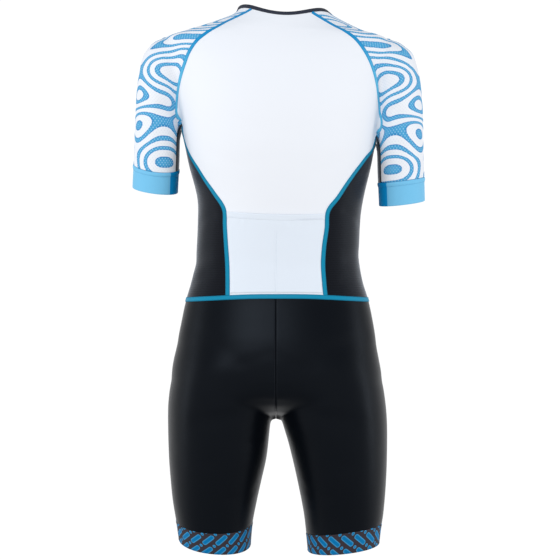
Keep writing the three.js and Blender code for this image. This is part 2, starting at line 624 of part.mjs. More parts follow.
// Sleeves: rows over the shoulder from the back raglan seam to the front one, then round the arm
// from the back edge of the underarm gusset to its front edge.
const armSteps = 5;
const sleeveColumns = 12;
const gussetColumns = 4;
const armTables = { left: armLeft, right: armRight };
const armRadius = 45;
function armRow(side, share, fromDegrees, toDegrees, lower = cuffTop[side], upperHeight = null) {
  const points = [];
  const sign = armSign[side];
  const middle = sectionAt(armTables[side], lower.z);
  const axis = (middle.left + middle.right) / 2;
  for (let i = 0; i <= rowSamples; i += 1) {
    const angle = radians(THREE.MathUtils.lerp(fromDegrees, toDegrees, i / rowSamples));
    const direction = vector(sign * Math.cos(angle), Math.sin(angle), 0);
    let p = vector(axis, 0, 0).addScaledVector(direction, armRadius);
    for (let pass = 0; pass < 3; pass += 1) {
      const above = upperHeight === null ? planeHeight(cuffTop[side], p.x, p.y) - seamGap / 2 : upperHeight;
      const z = THREE.MathUtils.lerp(above, planeHeight(lower, p.x, p.y), share);
      p = rayOut(vector(axis, 0, z), direction);
    }
    points.push(p);
  }
  return points;
}
const raised = (plane, lift) => ({ ...plane, z: plane.z + lift });
const sleeveSheets = {};
for (const side of ['left', 'right']) {
  const { back, front } = seams[side];
  const sign = armSign[side];
  const left = side === 'left';
  const crestRows = crestLines[side].map((r) => ({ x: r.x, y: crestDepth, z: r.z }));
  const crestTop = necklinePoint(left ? 0 : 180);
  const crestEnd = crestRows.pop();
  const crest = seamPoints(crestTop, crestRows, vector(crestEnd.x, crestEnd.y, crestEnd.z), raglanSteps);
  const crown = armpitPoint(armpit[side].x, 0);
  const sleeveEnd = raised(cuffTop[side], seamGap);
  const sheet = [];
  for (let r = 0; r <= raglanSteps; r += 1) {
    const from = back.upper[r];
    const to = front.upper[r];
    let row;
    if (r === 0) {
      row = left ? necklineRow(raglanAngle.backLeft, raglanAngle.frontLeft)
        : necklineRow(raglanAngle.backRight, raglanAngle.frontRight);
    } else {
      const origin = from.clone().lerp(to, 0.5).lerp(crest[r], crestPull);
      row = rowRound(origin, from, crest[r], to);
    }
    sheet.push(spaced(row, panelSpacing(sleeveColumns, raglanTape, raglanTape)));
  }
  for (let k = 1; k <= armSteps; k += 1) {
    const row = armRow(side, k / armSteps, underarm.back, -underarm.back, sleeveEnd, crown.z - 1);
    sheet.push(spaced(row, panelSpacing(sleeveColumns, raglanTape, raglanTape)));
  }
  sleeveSheets[side] = sheet;
  addPanel(`sleeve_${side}`, sheet, sleevePrint);

  const gusset = [];
  for (let k = 0; k <= armSteps; k += 1) {
    let row;
    if (k === 0) {
      row = [];
      for (let i = 0; i <= rowSamples; i += 1) {
        const y = THREE.MathUtils.lerp(crownReach, -crownReach, i / rowSamples);
        const point = armpitPoint(armpit[side].x, y);
        point.x += sign * crownGap;
        row.push(point);
      }
    } else row = armRow(side, k / armSteps, underarm.back, underarm.front, sleeveEnd, crown.z - 1);
    gusset.push(spaced(row, evenSpacing(gussetColumns, seamGap / 2)));
  }
  addPanel(`underarm_${side}`, gusset, ribbedBlack, linedFromCrown(gusset, sign));

  // Sleeve cuff, with a raised ridge where it is sewn on
  const cuffColumns = 24;
  const cuffRows = [
    { share: 0, proud: 0.4 }, { share: 0.06, proud: 1 }, { share: 0.14, proud: 0.9 }, { share: 0.18, proud: 0 },
    { share: 0.6, proud: 0 }, { share: 1, proud: 0 },
  ];
  const ring = cuffRows.map(({ share }) => {
    const row = armRow(side, share, 180, -180, cuffEnd[side]);
    row[rowSamples] = row[0].clone();
    return spaced(row, evenSpacing(cuffColumns, 0));
  });
  const outer = ring.map((row, i) => row.map(
    (p) => p.clone().addScaledVector(normalAt(p), cuffRows[i].proud)));
  rigid.add(sheetSolid(`cuff_${side}`, outer, movedOut(ring, -cuffCloth), lightBlue, 0));
}

// Legs of the shorts: open towards each other above the crotch, closed into tubes below it
const legColumns = 26;
const legSamples = 72;      // rays of a leg's row
const legAxis = { left: 92, right: -96 };
const crotch = (() => {
  let lowest = null;
  for (let y = -14; y <= 14; y += 2) {
    const point = rayOut(vector(0, y, -600), vector(0, 0, -1));
    if (!lowest || point.z < lowest.z) lowest = point;
  }
  return lowest;
})();
const legHeights = [-465, -490, -518, -546, -576, -608];
const crotchRise = -crotch.z - 608;
for (const share of [0.62, 0.36, 0.17, 0.05, 0]) legHeights.push(crotch.z + crotchRise * share);
const crotchRow = legHeights.length - 1;
legHeights.push(-696, -722, -750, -780, -810, -832, -850);
const waistFade = [1, 0.7, 0.4, 0.15];
const bandFade = [0.1, 0.35, 0.65, 1];
function legPoint(side, direction, z, waistShare, plane, planeShare) {
  const origin = vector(legAxis[side], 0, z);
  let p = rayOut(origin, direction);
  for (let pass = 0; pass < 2; pass += 1) {
    const degrees = THREE.MathUtils.radToDeg(Math.atan2(p.y, p.x - bodyAxis));
    origin.z = z + (waistHeight(degrees) - waist.z) * waistShare
      + (planeHeight(plane, p.x, p.y) - plane.z) * planeShare;
    p = rayOut(origin, direction);
  }
  return p;
}
function legRow(side, z, waistShare, plane, planeShare) {
  const sign = armSign[side];
  const open = z > crotch.z + 0.01;
  let start = Math.PI;
  let end = -Math.PI;
  const seamX = sign * seamGap / 2;
  const middle = vector(seamX, crotch.y, z);
  let ends = null;
  if (open) {
    ends = [rayOut(middle, vector(0, 1, 0)), rayOut(middle, vector(0, -1, 0))];
    start = Math.atan2(ends[0].y, sign * (seamX - legAxis[side]));
    end = Math.atan2(ends[1].y, sign * (seamX - legAxis[side]));
  }
  const points = [];
  for (let i = 0; i <= legSamples; i += 1) {
    const angle = THREE.MathUtils.lerp(start, end, i / legSamples);
    const direction = vector(sign * Math.cos(angle), Math.sin(angle), 0);
    points.push(legPoint(side, direction, z, waistShare, plane, planeShare));
  }
  if (open) {
    points[0].copy(ends[0]);
    points[points.length - 1].copy(ends[1]);
  } else if (z > crotch.z - 0.01) {
    points[0].set(seamX, crotch.y, crotch.z);
    points[points.length - 1].copy(points[0]);
  } else points[points.length - 1].copy(points[0]);
  return points;
}
for (const side of ['left', 'right']) {
  const sign = armSign[side];
  const bandTop = legBandTop[side];
  const sheet = legHeights.map((height, r) => {
    const lastRows = legHeights.length - bandFade.length;
    const planeShare = r >= lastRows ? bandFade[r - lastRows] : 0;
    const last = r === legHeights.length - 1;
    const z = last ? bandTop.z + seamGap / 2 : height - (r === 0 ? seamGap / 2 : 0);
    return spaced(legRow(side, z, waistFade[r] ?? 0, bandTop, planeShare), evenSpacing(legColumns, 0));
  });
  const inner = movedOut(sheet, -cloth);
  for (let r = 0; r <= crotchRow; r += 1) {
    for (const c of [0, legColumns]) {
      inner[r][c].x = sign * seamGap / 2;
    }
  }
  inner[crotchRow][0].set(sign * seamGap / 2, crotch.y, crotch.z + cloth);
  inner[crotchRow][legColumns].copy(inner[crotchRow][0]);
  rigid.add(sheetSolid(`short_leg_${side}`, sheet, inner, shortsBlack, crotchRow));

  const bandRows = [0, 0.1, 0.55, 0.94, 1];
  const band = bandRows.map((share) => {
    const plane = {
      x: bandTop.x,
      z: THREE.MathUtils.lerp(bandTop.z - seamGap / 2, hem[side].z, share),
      perX: THREE.MathUtils.lerp(bandTop.perX, hem[side].perX, share),
      perY: THREE.MathUtils.lerp(bandTop.perY, hem[side].perY, share),
    };
    return spaced(legRow(side, plane.z, 0, plane, 1), evenSpacing(legColumns, 0));
  });
  const proud = [0, 0.4, 0.4, 0.4, 0.2];
  const bandOuter = band.map((row, r) => row.map(
    (p) => p.clone().addScaledVector(normalAt(p), proud[r])));
  rigid.add(sheetSolid(`leg_band_${side}`, bandOuter, movedOut(band, -cuffCloth + 0.4), bandBrown, 0));
}

// Collar: a bound band round the neckline, open at the zip
const collarColumns = 36;
const collarRows = [
  { up: seamGap / 2, proud: 0.2 }, { up: collarHeight * 0.5, proud: 0.7 }, { up: collarHeight, proud: 0.2 },
];
const collar = collarRows.map(({ up }) => {
  const row = [];
  for (let i = 0; i <= collarColumns; i += 1) {
    row.push(necklinePoint(zipDegrees + THREE.MathUtils.lerp(zipTurn, 360 - zipTurn, i / collarColumns), up));
  }
  return row;
});
const collarOuter = collar.map((row, r) => row.map(
  (p) => p.clone().addScaledVector(normalAt(p), collarRows[r].proud)));
rigid.add(sheetSolid('collar', collarOuter, movedOut(collar, -collarCloth), collarDark));

// Seam tapes
const raglanRows = rowList(0.08, raglanSteps - 1.1);
const sideRows = rowList(0.3, sideSteps - 0.2);
for (const side of ['left', 'right']) {
  const left = side === 'left';
  const backEdge = left ? startOf : endOf;
  addTape(`raglan_tape_back_${side}`, backEdge(backSheet), startOf(sleeveSheets[side]), raglanRows, brightBlue);
  addTape(`raglan_tape_front_${side}`,
    startOf(frontSheets[side]), endOf(sleeveSheets[side]), raglanRows, brightBlue);
  addTape(`side_tape_back_${side}`, backEdge(backSheet, raglanSteps), startOf(sideSheets[side]), sideRows, teal);
  addTape(`side_tape_front_${side}`,
    startOf(frontSheets[side], raglanSteps), endOf(sideSheets[side]), sideRows, teal);
}
const waistTapeLift = 0.75;
const waistColumns = 64;
const waistTapeRows = [1, -1].map((toward) => {
  const row = [];
  for (let i = 0; i <= waistColumns; i += 1) {
    const degrees = -90 + 360 * i / waistColumns;
    const angle = radians(degrees);
    const origin = vector(bodyAxis, 0, waistHeight(degrees) + toward * bodyTape / 2);
    row.push(rayOut(origin, vector(Math.cos(angle), Math.sin(angle), 0)));
  }
  return row;
});
rigid.add(sheetSolid('waist_tape', movedOut(waistTapeRows, waistTapeLift + tapeCloth),
  movedOut(waistTapeRows, waistTapeLift), teal, 0));

// Rear pocket, on the back panel between the side tapes and above the waist tape
const pocketColumnEnds = { first: 1 + pocket.sideClear / 12, last: backColumns + 1 - pocket.sideClear / 12 };
const backMiddle = (row) => sheetPoint(backSheet, row, (backColumns + 2) / 2).z;
function rowAtHeight(z) {
  let low = 0;
  let high = torsoRows;
  for (let i = 0; i < 30; i += 1) {
    const middle = (low + high) / 2;
    if (backMiddle(middle) > z) low = middle;
    else high = middle;
  }
  return low;
}
const pocketRows = rowList(rowAtHeight(pocket.top), rowAtHeight(waist.z + bodyTape / 2 + 0.9));
pocketRows.splice(1, 0, rowAtHeight(pocket.top - pocket.hem), rowAtHeight(pocket.top - pocket.hem - 0.8));
pocketRows.sort((a, b) => a - b);
const pocketSheet = pocketRows.map((row) => {
  const points = [sheetPoint(backSheet, row, pocketColumnEnds.first)];
  for (let c = 2; c <= backColumns; c += 1) points.push(sheetPoint(backSheet, row, c));
  return [...points, sheetPoint(backSheet, row, pocketColumnEnds.last)];
});
const pocketHemEnd = rowAtHeight(pocket.top - pocket.hem) + 1e-6;
const pocketOver = pocketSheet.map((row, r) => {
  const proud = pocketRows[r] <= pocketHemEnd ? pocket.hemProud : 0;
  return row.map((p) => p.clone().addScaledVector(normalAt(p), pocket.lift + pocket.cloth + proud));
});
rigid.add(sheetSolid('rear_pocket', pocketOver, movedOut(pocketSheet, pocket.lift), white));

// Front zip: the chain between the front panels, from the collar's edge to the waist tape
const chainHalf = zip.width / 2 - zip.edgeGap;
const teethHalf = chainHalf * zip.teethShare;
const chainColumns = [-chainHalf, -teethHalf, teethHalf, chainHalf];
const chainProud = [0, zip.stand, zip.stand, 0];
const chainTop = necklineHeight(radians(-90)) + collarHeight;
const chainFoot = waist.z + bodyTape / 2 + 1;
const chainSteps = 26;
const chainRows = [];
for (let r = 0; r <= chainSteps; r += 1) {
  const z = THREE.MathUtils.lerp(chainTop, chainFoot, r / chainSteps);
  chainRows.push(chainColumns.map((x) => rayOut(vector(zip.x + x, 0, z), vector(0, -1, 0))));
}
const chainOuter = chainRows.map((row) => row.map(
  (p, c) => p.clone().addScaledVector(normalAt(p), chainProud[c])));
rigid.add(sheetSolid('zip_chain', chainOuter, movedOut(chainRows, -cloth), zipDark));

// Slider and pull tab, in a frame whose Z runs up the cloth and whose -Y faces out of it
const sliderAt = rayOut(vector(zip.x, 0, chainTop - zip.sliderDrop), vector(0, -1, 0));
const sliderNormal = normalAt(sliderAt);
const lean = Math.atan2(sliderNormal.z, -sliderNormal.y);
const sliderFrame = new THREE.Group();
sliderFrame.position.copy(sliderAt);
sliderFrame.rotation.x = -lean;
suit.add(sliderFrame);
const asManifold = (geometry) => {
  const plain = geometry.clone();
  plain.deleteAttribute('normal');
  plain.deleteAttribute('uv');
  const merged = mergeVertices(plain);
  return new wasm.Manifold(new wasm.Mesh({
    numProp: 3,
    vertProperties: new Float32Array(merged.attributes.position.array),
    triVerts: new Uint32Array(merged.index.array),
  }));
};
const asGeometry = (manifold) => {
  const { vertProperties, triVerts } = manifold.getMesh();
  const geometry = new THREE.BufferGeometry();
  geometry.setAttribute('position', new THREE.Float32BufferAttribute(vertProperties, 3));
  geometry.setIndex(Array.from(triVerts));
  return geometry;
};
// An outline in the slider's XZ plane, extruded out of the cloth from one height to another.
function plate(shape, from, to) {
  const geometry = new THREE.ExtrudeGeometry(shape, { depth: to - from, bevelEnabled: false, curveSegments: 4 });
  geometry.rotateX(Math.PI / 2);
  geometry.translate(0, -from, 0);
  return geometry;
}
const base = zip.stand + slider.lift;
const bodyOutline = new THREE.Shape();
bodyOutline.moveTo(-slider.width / 2, slider.length / 2);
bodyOutline.lineTo(-slider.width * 0.32, -slider.length / 2);
bodyOutline.lineTo(slider.width * 0.32, -slider.length / 2);
bodyOutline.lineTo(slider.width / 2, slider.length / 2);
bodyOutline.closePath();
const pivotHeight = base + slider.height + bail.gap / 2;
const bailOutline = new THREE.Shape();
const bailTop = pivotHeight + bail.gap / 2 + bail.bar;
const bailHalf = bail.gap / 2 + bail.bar;
bailOutline.moveTo(-bailHalf, base + slider.height - 0.5);
bailOutline.lineTo(bailHalf, base + slider.height - 0.5);
bailOutline.lineTo(bailHalf, bailTop);
bailOutline.lineTo(-bailHalf, bailTop);
bailOutline.closePath();
const bailHole = new THREE.Path();
bailHole.moveTo(-bail.gap / 2, base + slider.height);
bailHole.lineTo(bail.gap / 2, base + slider.height);
bailHole.lineTo(bail.gap / 2, pivotHeight + bail.gap / 2);
bailHole.lineTo(-bail.gap / 2, pivotHeight + bail.gap / 2);
bailHole.closePath();
bailOutline.holes.push(bailHole);
const bailSolid = new THREE.ExtrudeGeometry(bailOutline, { depth: bail.width, bevelEnabled: false });
bailSolid.translate(0, 0, -bail.width / 2);
const bailTurn = new THREE.Matrix4().makeBasis(vector(0, 0, 1), vector(0, -1, 0), vector(1, 0, 0));
bailSolid.applyMatrix4(bailTurn);
const sliderSolid = asManifold(plate(bodyOutline, base, base + slider.height)).add(asManifold(bailSolid));
const sliderMesh = new THREE.Mesh(asGeometry(sliderSolid), zipMetal);
sliderMesh.name = 'zip_slider';
sliderFrame.add(sliderMesh);

const pullOutline = new THREE.Shape();
const pullTop = pull.bar / 2;
pullOutline.moveTo(-pull.width / 2, pullTop);
pullOutline.lineTo(-pull.width / 2, pullTop - pull.length + pull.width / 2);
pullOutline.absarc(0, pullTop - pull.length + pull.width / 2, pull.width / 2, Math.PI, 2 * Math.PI, false);
pullOutline.lineTo(pull.width / 2, pullTop);
pullOutline.closePath();
const eye = new THREE.Path();
eye.moveTo(-pull.eyeWidth / 2, -pull.bar / 2);
eye.lineTo(pull.eyeWidth / 2, -pull.bar / 2);
eye.lineTo(pull.eyeWidth / 2, -pull.bar / 2 - pull.eyeLength);
eye.lineTo(-pull.eyeWidth / 2, -pull.bar / 2 - pull.eyeLength);
eye.closePath();
pullOutline.holes.push(eye);
const pullMesh = new THREE.Mesh(
  plate(pullOutline, pivotHeight - pull.thick / 2, pivotHeight + pull.thick / 2), zipMetal);
pullMesh.name = 'zip_pull';
sliderFrame.add(pullMesh);

export default suit;
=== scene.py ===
import math

import bpy
import numpy as np
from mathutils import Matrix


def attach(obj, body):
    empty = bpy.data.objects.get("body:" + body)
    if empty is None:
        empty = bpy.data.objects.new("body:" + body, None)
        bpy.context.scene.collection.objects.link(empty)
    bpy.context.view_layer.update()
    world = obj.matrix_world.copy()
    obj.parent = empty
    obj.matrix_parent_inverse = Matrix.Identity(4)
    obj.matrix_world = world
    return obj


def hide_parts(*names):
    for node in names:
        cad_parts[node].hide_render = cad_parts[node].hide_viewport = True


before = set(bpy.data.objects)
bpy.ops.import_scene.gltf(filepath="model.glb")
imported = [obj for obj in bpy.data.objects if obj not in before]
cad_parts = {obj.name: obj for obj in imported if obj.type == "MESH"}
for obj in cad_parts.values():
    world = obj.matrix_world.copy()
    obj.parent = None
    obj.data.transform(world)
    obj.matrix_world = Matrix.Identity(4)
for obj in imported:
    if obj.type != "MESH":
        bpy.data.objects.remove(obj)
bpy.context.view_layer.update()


# Studio: the camera stands behind the suit at half its height, where the photograph was taken
# from, on a long lens. Four large soft lights stand round it: a tall one to each side for the broad
# highlights down the thighs, and one high up behind the suit and one in front. A pale sweep of
# floor and wall glows behind it all.
CAMERA_PLACE = (-0.0068, 2.4, -0.4378)
CAMERA_WIDTH_SEEN = 560 * 0.00171      # metres across the image at the suit's middle
SENSOR = 36.0
camera_data = bpy.data.cameras.new("camera")
camera_data.sensor_width = SENSOR
camera_data.lens = SENSOR * CAMERA_PLACE[1] / CAMERA_WIDTH_SEEN
camera = bpy.data.objects.new("camera", camera_data)
camera.location = CAMERA_PLACE
camera.rotation_euler = (math.radians(90), 0, math.radians(180))
bpy.context.collection.objects.link(camera)
bpy.context.scene.camera = camera


SUIT_MIDDLE = (0, 0, -0.44)
SOFT_BLUE = (0.9, 0.95, 1.0)


def soft_light(name, place, size, power):
    """A soft box, wide and tall as its size says, that faces the suit's middle: its turn is the
    angle of the way to it from above, and its tilt the angle of that way from the upright."""
    data = bpy.data.lights.new(name, "AREA")
    data.shape = "RECTANGLE"
    data.size, data.size_y = size
    data.energy = power
    data.color = SOFT_BLUE
    light = bpy.data.objects.new(name, data)
    light.location = place
    away = np.array(place) - np.array(SUIT_MIDDLE)
    turn = math.atan2(away[1], away[0])
    tilt = math.atan2(math.hypot(away[0], away[1]), away[2])
    light.rotation_euler = (tilt, 0, turn + math.pi / 2)
    bpy.context.collection.objects.link(light)


soft_light("left_box", (2.1, 0.25, -0.35), (0.5, 2.0), 7)
soft_light("right_box", (-2.1, 0.25, -0.5), (0.5, 2.0), 9.5)
soft_light("back_box", (0.7, 2.8, 1.4), (1.6, 1.2), 35)
soft_light("front_box", (-0.6, -2.8, 1.0), (1.6, 1.2), 12)

world = bpy.data.worlds.new("studio")
world.use_nodes = True
world.node_tree.nodes["Background"].inputs["Color"].default_value = (0.9, 0.94, 1.0, 1)
world.node_tree.nodes["Background"].inputs["Strength"].default_value = 0.5
bpy.context.scene.world = world
bpy.context.scene.view_settings.view_transform = "Standard"

FLOOR_Z = -1.18
SWEEP_DISTANCE, SWEEP_RADIUS, WALL_HEIGHT = 3.2, 1.0, 4.0


def sweep_grid():
    """A disc of floor whose rim curves up into a round wall: a profile turned about Z."""
    bend = np.linspace(0, math.pi / 2, 13)
    wall = SWEEP_DISTANCE + SWEEP_RADIUS
    profile_r = np.concatenate([[0.0, 1.0], SWEEP_DISTANCE + SWEEP_RADIUS * np.sin(bend), [wall]])
    profile_z = np.concatenate([[0.0, 0.0], SWEEP_RADIUS * (1 - np.cos(bend)), [WALL_HEIGHT]]) + FLOOR_Z
    turn = np.linspace(0, 2 * math.pi, 65)
    x = np.cos(turn) * profile_r[:, None]
    y = np.sin(turn) * profile_r[:, None]
    return np.stack([x, y, np.broadcast_to(profile_z[:, None], x.shape)], axis=-1)


def quads(index):
    """The four-sided faces of a grid of point numbers."""
    return np.stack([index[:-1, :-1], index[:-1, 1:], index[1:, 1:], index[1:, :-1]], axis=-1).reshape(-1, 4)


def quad_mesh(name, points, faces):
    """A smooth mesh of four-sided faces on points in metres."""
    mesh = bpy.data.meshes.new(name)
    mesh.vertices.add(points.size // 3)
    mesh.vertices.foreach_set("co", points.reshape(-1).astype(np.float32))
    mesh.loops.add(faces.size)
    mesh.loops.foreach_set("vertex_index", faces.reshape(-1).astype(np.int32))
    mesh.polygons.add(len(faces))
    mesh.polygons.foreach_set("loop_start", np.arange(0, faces.size, 4, dtype=np.int32))
    mesh.polygons.foreach_set("use_smooth", np.ones(len(faces), dtype=bool))
    mesh.update(calc_edges=True)
    return mesh


def placed(name, mesh, material):
    """An object at the origin with one material."""
    piece = bpy.data.objects.new(name, mesh)
    bpy.context.collection.objects.link(piece)
    piece.data.materials.append(material)
    return piece


# The filled form: the shape that the cloth takes when the suit is worn. Torso, arms and legs are
# stacks of rounded sections, in millimetres, which melt into each other where they meet. Every
# panel below lies on this one surface.
MM = 0.001
# Columns: height z, reach to the left, right, front and back, and the power of the outline.
TORSO = (
    (70, 60, -82, -58, 50, 2), (24, 66, -88, -66, 56, 2), (14, 78, -98, -69, 61, 1.9),
    (0, 116, -124, -74, 69, 1.8), (-14, 160, -154, -80, 77, 1.9), (-24, 188, -186, -85, 82, 2),
    (-40, 196, -197, -91, 89, 2.1), (-70, 190, -190, -100, 99, 2.3), (-110, 178, -184, -108, 106, 2.4),
    (-150, 167, -178, -113, 110, 2.4), (-207, 156, -169, -116, 107, 2.4), (-241, 149, -163, -114, 102, 2.4),
    (-297, 135, -150, -109, 92, 2.3), (-335, 134, -144.5, -105, 85, 2.3), (-404, 138, -143, -102, 78, 2.3),
    (-438, 144.5, -148, -102, 80, 2.3), (-472, 154, -158, -102, 86, 2.3), (-506, 161, -165, -102, 96, 2.3),
    (-540, 167, -170, -102, 106, 2.3), (-575, 169, -171, -101, 112, 2.3), (-609, 158, -162, -98, 110, 2.2),
    (-640, 120, -122, -82, 92, 2.1), (-659, 62, -62, -42, 50, 2), (-665, 30, -30, -16, 22, 2),
    (-669, 3, -3, -1, 5, 2))
LEG_LEFT = (
    (-520, 130, 30, -50, 50, 2), (-575, 168, 4, -84, 96, 2), (-609, 178, 1, -92, 106, 2.1),
    (-643, 183, 3, -95, 106, 2.1), (-677, 184, 9, -93, 101, 2.1), (-739, 182.5, 16, -88, 92, 2.1),
    (-780, 179.5, 25, -82, 85, 2.1), (-814, 176, 32.5, -77, 79, 2.1), (-853, 169.5, 40, -70, 73, 2.1),
    (-891, 164, 43.5, -65, 69, 2.1), (-920, 161, 45, -62, 67, 2.1))
LEG_RIGHT = (
    (-520, -30, -130, -50, 50, 2), (-575, -4, -168, -84, 96, 2), (-609, -1, -180, -92, 106, 2.1),
    (-643, -3, -186, -95, 106, 2.1), (-677, -10, -189, -93, 101, 2.1), (-718, -22, -189.5, -90, 95, 2.1),
    (-775, -35.5, -188, -83, 86, 2.1), (-833, -47, -183.5, -74, 76, 2.1), (-865, -51, -178.5, -69, 72, 2.1),
    (-901, -54.5, -174.5, -64, 69, 2.1), (-920, -55, -173, -62, 67, 2.1))
ARM_LEFT = (
    (-25.5, 196, 186, -8, 2, 2), (-31, 207, 148, -31, 25, 2), (-40, 217, 132, -43, 38, 2),
    (-55, 227, 128, -51, 47, 2), (-80, 233, 140, -56, 52, 2), (-110, 237.5, 153, -57, 53, 2),
    (-160, 240.5, 162, -55, 51, 2), (-198, 242, 164.5, -53, 49, 2), (-238, 243.5, 165.5, -51, 47, 2),
    (-290, 246, 168, -49, 45, 2), (-320, 247, 169, -48, 44, 2))
ARM_RIGHT = (
    (-27.5, -188, -198, -8, 2, 2), (-33, -148, -211.5, -31, 25, 2), (-40, -134, -221, -42, 37, 2),
    (-52, -130, -233.5, -50, 46, 2), (-73, -138, -241, -56, 52, 2), (-102, -156, -247, -57, 53, 2),
    (-150, -168, -251, -56, 52, 2), (-206, -172.5, -252, -54, 50, 2), (-258, -174, -253.5, -51, 47, 2),
    (-302, -176, -254.5, -49, 45, 2), (-330, -177, -255, -48, 44, 2))
LEG_BLEND, HIP_BLEND, ARM_BLEND = 8, 24, 8


def limb(rows):
    """Smooth curves through a limb's rows: each piece is a cubic whose slope at a row is that of
    the chord between its neighbours. Sampled at every half millimetre of height."""
    rows = np.array(rows, float)[::-1]
    z, values = rows[:, 0], rows[:, 1:]
    before = np.maximum(np.arange(len(z)) - 1, 0)
    after = np.minimum(np.arange(len(z)) + 1, len(z) - 1)
    slope = (values[after] - values[before]) / (z[after] - z[before])[:, None]
    fine = np.arange(z[0], z[-1] + 0.25, 0.5)
    i = np.clip(np.searchsorted(z, fine, side="right") - 1, 0, len(z) - 2)
    span = (z[i + 1] - z[i])[:, None]
    t = ((fine - z[i])[:, None]) / span
    level = values[i] * (1 - t * t * (3 - 2 * t)) + values[i + 1] * t * t * (3 - 2 * t)
    curve = slope[i] * t * (1 - t) ** 2 * span + slope[i + 1] * t * t * (t - 1) * span
    return fine, level + curve


LIMBS = [limb(rows) for rows in (TORSO, LEG_LEFT, LEG_RIGHT, ARM_LEFT, ARM_RIGHT)]


def outside_limb(shape, p):
    """Distance outside a limb, along the line from its axis: under 0 inside it."""
    heights, values = shape
    held = np.clip(p[..., 2], heights[0], heights[-1])
    left, right, front, back, power = (np.interp(held, heights, values[:, k]) for k in range(5))
    dx = p[..., 0] - (left + right) / 2
    dy = p[..., 1] - (front + back) / 2
    reach = np.hypot(dx, dy) + 1e-3
    wide, deep = np.abs(dx) * 2 / (left - right), np.abs(dy) * 2 / (back - front)
    share = (wide ** power + deep ** power) ** (1 / power)
    return reach - reach / np.maximum(share, 1e-3) + np.abs(p[..., 2] - held)


def melt(a, b, radius):
    """The smaller of two distances, rounded where they are near each other."""
    near = np.maximum(radius - np.abs(a - b), 0)
    return np.minimum(a, b) - near * near / (4 * radius)


def outside(p):
    """Distance outside the whole form."""
    torso, leg_left, leg_right, arm_left, arm_right = (outside_limb(shape, p) for shape in LIMBS)
    body = melt(torso, melt(leg_left, leg_right, LEG_BLEND), HIP_BLEND)
    return melt(body, np.minimum(arm_left, arm_right), ARM_BLEND)


def slope_at(p):
    """The distance's slope, from its change over a millimetre along each axis."""
    steps = 0.5 * np.eye(3)
    return np.stack([outside(p + s) - outside(p - s) for s in steps], axis=-1)


def normal_at(p):
    """The direction straight out of the form: the slope over its length."""
    slope = slope_at(p)
    return slope / np.linalg.norm(slope, axis=-1, keepdims=True)


def onto_form(p, passes=3):
    """The nearest points of the surface, by short steps down the slope of the distance."""
    for _ in range(passes):
        slope = slope_at(p)
        p = p - slope * (outside(p) / (slope ** 2).sum(-1))[..., None]
    return p


def rays_out(origin, direction):
    """Where rays from inside the form first leave it: steps of half the distance that is left,
    then halving between the last point inside and the first outside."""
    origin, direction = np.broadcast_arrays(np.asarray(origin, float), np.asarray(direction, float))
    low = np.zeros(origin.shape[:-1])
    high = low.copy()
    for _ in range(70):
        value = outside(origin + direction * high[..., None])
        within = value < 0
        if not within.any():
            break
        low = np.where(within, high, low)
        high = np.where(within, high + np.clip(-0.5 * value, 0.5, 12), high)
    for _ in range(14):
        middle = (low + high) / 2
        within = outside(origin + direction * middle[..., None]) < 0
        low = np.where(within, middle, low)
        high = np.where(within, high, middle)
    return origin + direction * low[..., None]


def smooth_path(points, count):
    """Evenly spaced points on a smooth curve through a few given ones: cubics along the chord
    length, with the chord between neighbours as each point's slope."""
    points = np.array(points, float)
    length = np.concatenate([[0], np.cumsum(np.linalg.norm(np.diff(points, axis=0), axis=1))])
    before = np.maximum(np.arange(len(points)) - 1, 0)
    after = np.minimum(np.arange(len(points)) + 1, len(points) - 1)
    slope = (points[after] - points[before]) / (length[after] - length[before])[:, None]
    fine = np.linspace(0, length[-1], 400)
    i = np.clip(np.searchsorted(length, fine, side="right") - 1, 0, len(points) - 2)
    span = (length[i + 1] - length[i])[:, None]
    t = (fine - length[i])[:, None] / span
    curve = (points[i] * (1 - t * t * (3 - 2 * t)) + points[i + 1] * t * t * (3 - 2 * t)
             + slope[i] * t * (1 - t) ** 2 * span + slope[i + 1] * t * t * (t - 1) * span)
    return spread(curve[None], np.linspace(0, 1, count))[0]


def spread(rows, shares):
    """Points at set shares of the length of each row of points."""
    result = np.empty((len(rows), len(shares), 3))
    for k, row in enumerate(rows):
        length = np.concatenate([[0], np.cumsum(np.linalg.norm(np.diff(row, axis=0), axis=1))])
        for axis in range(3):
            result[k, :, axis] = np.interp(shares * length[-1], length, row[:, axis])
    return result


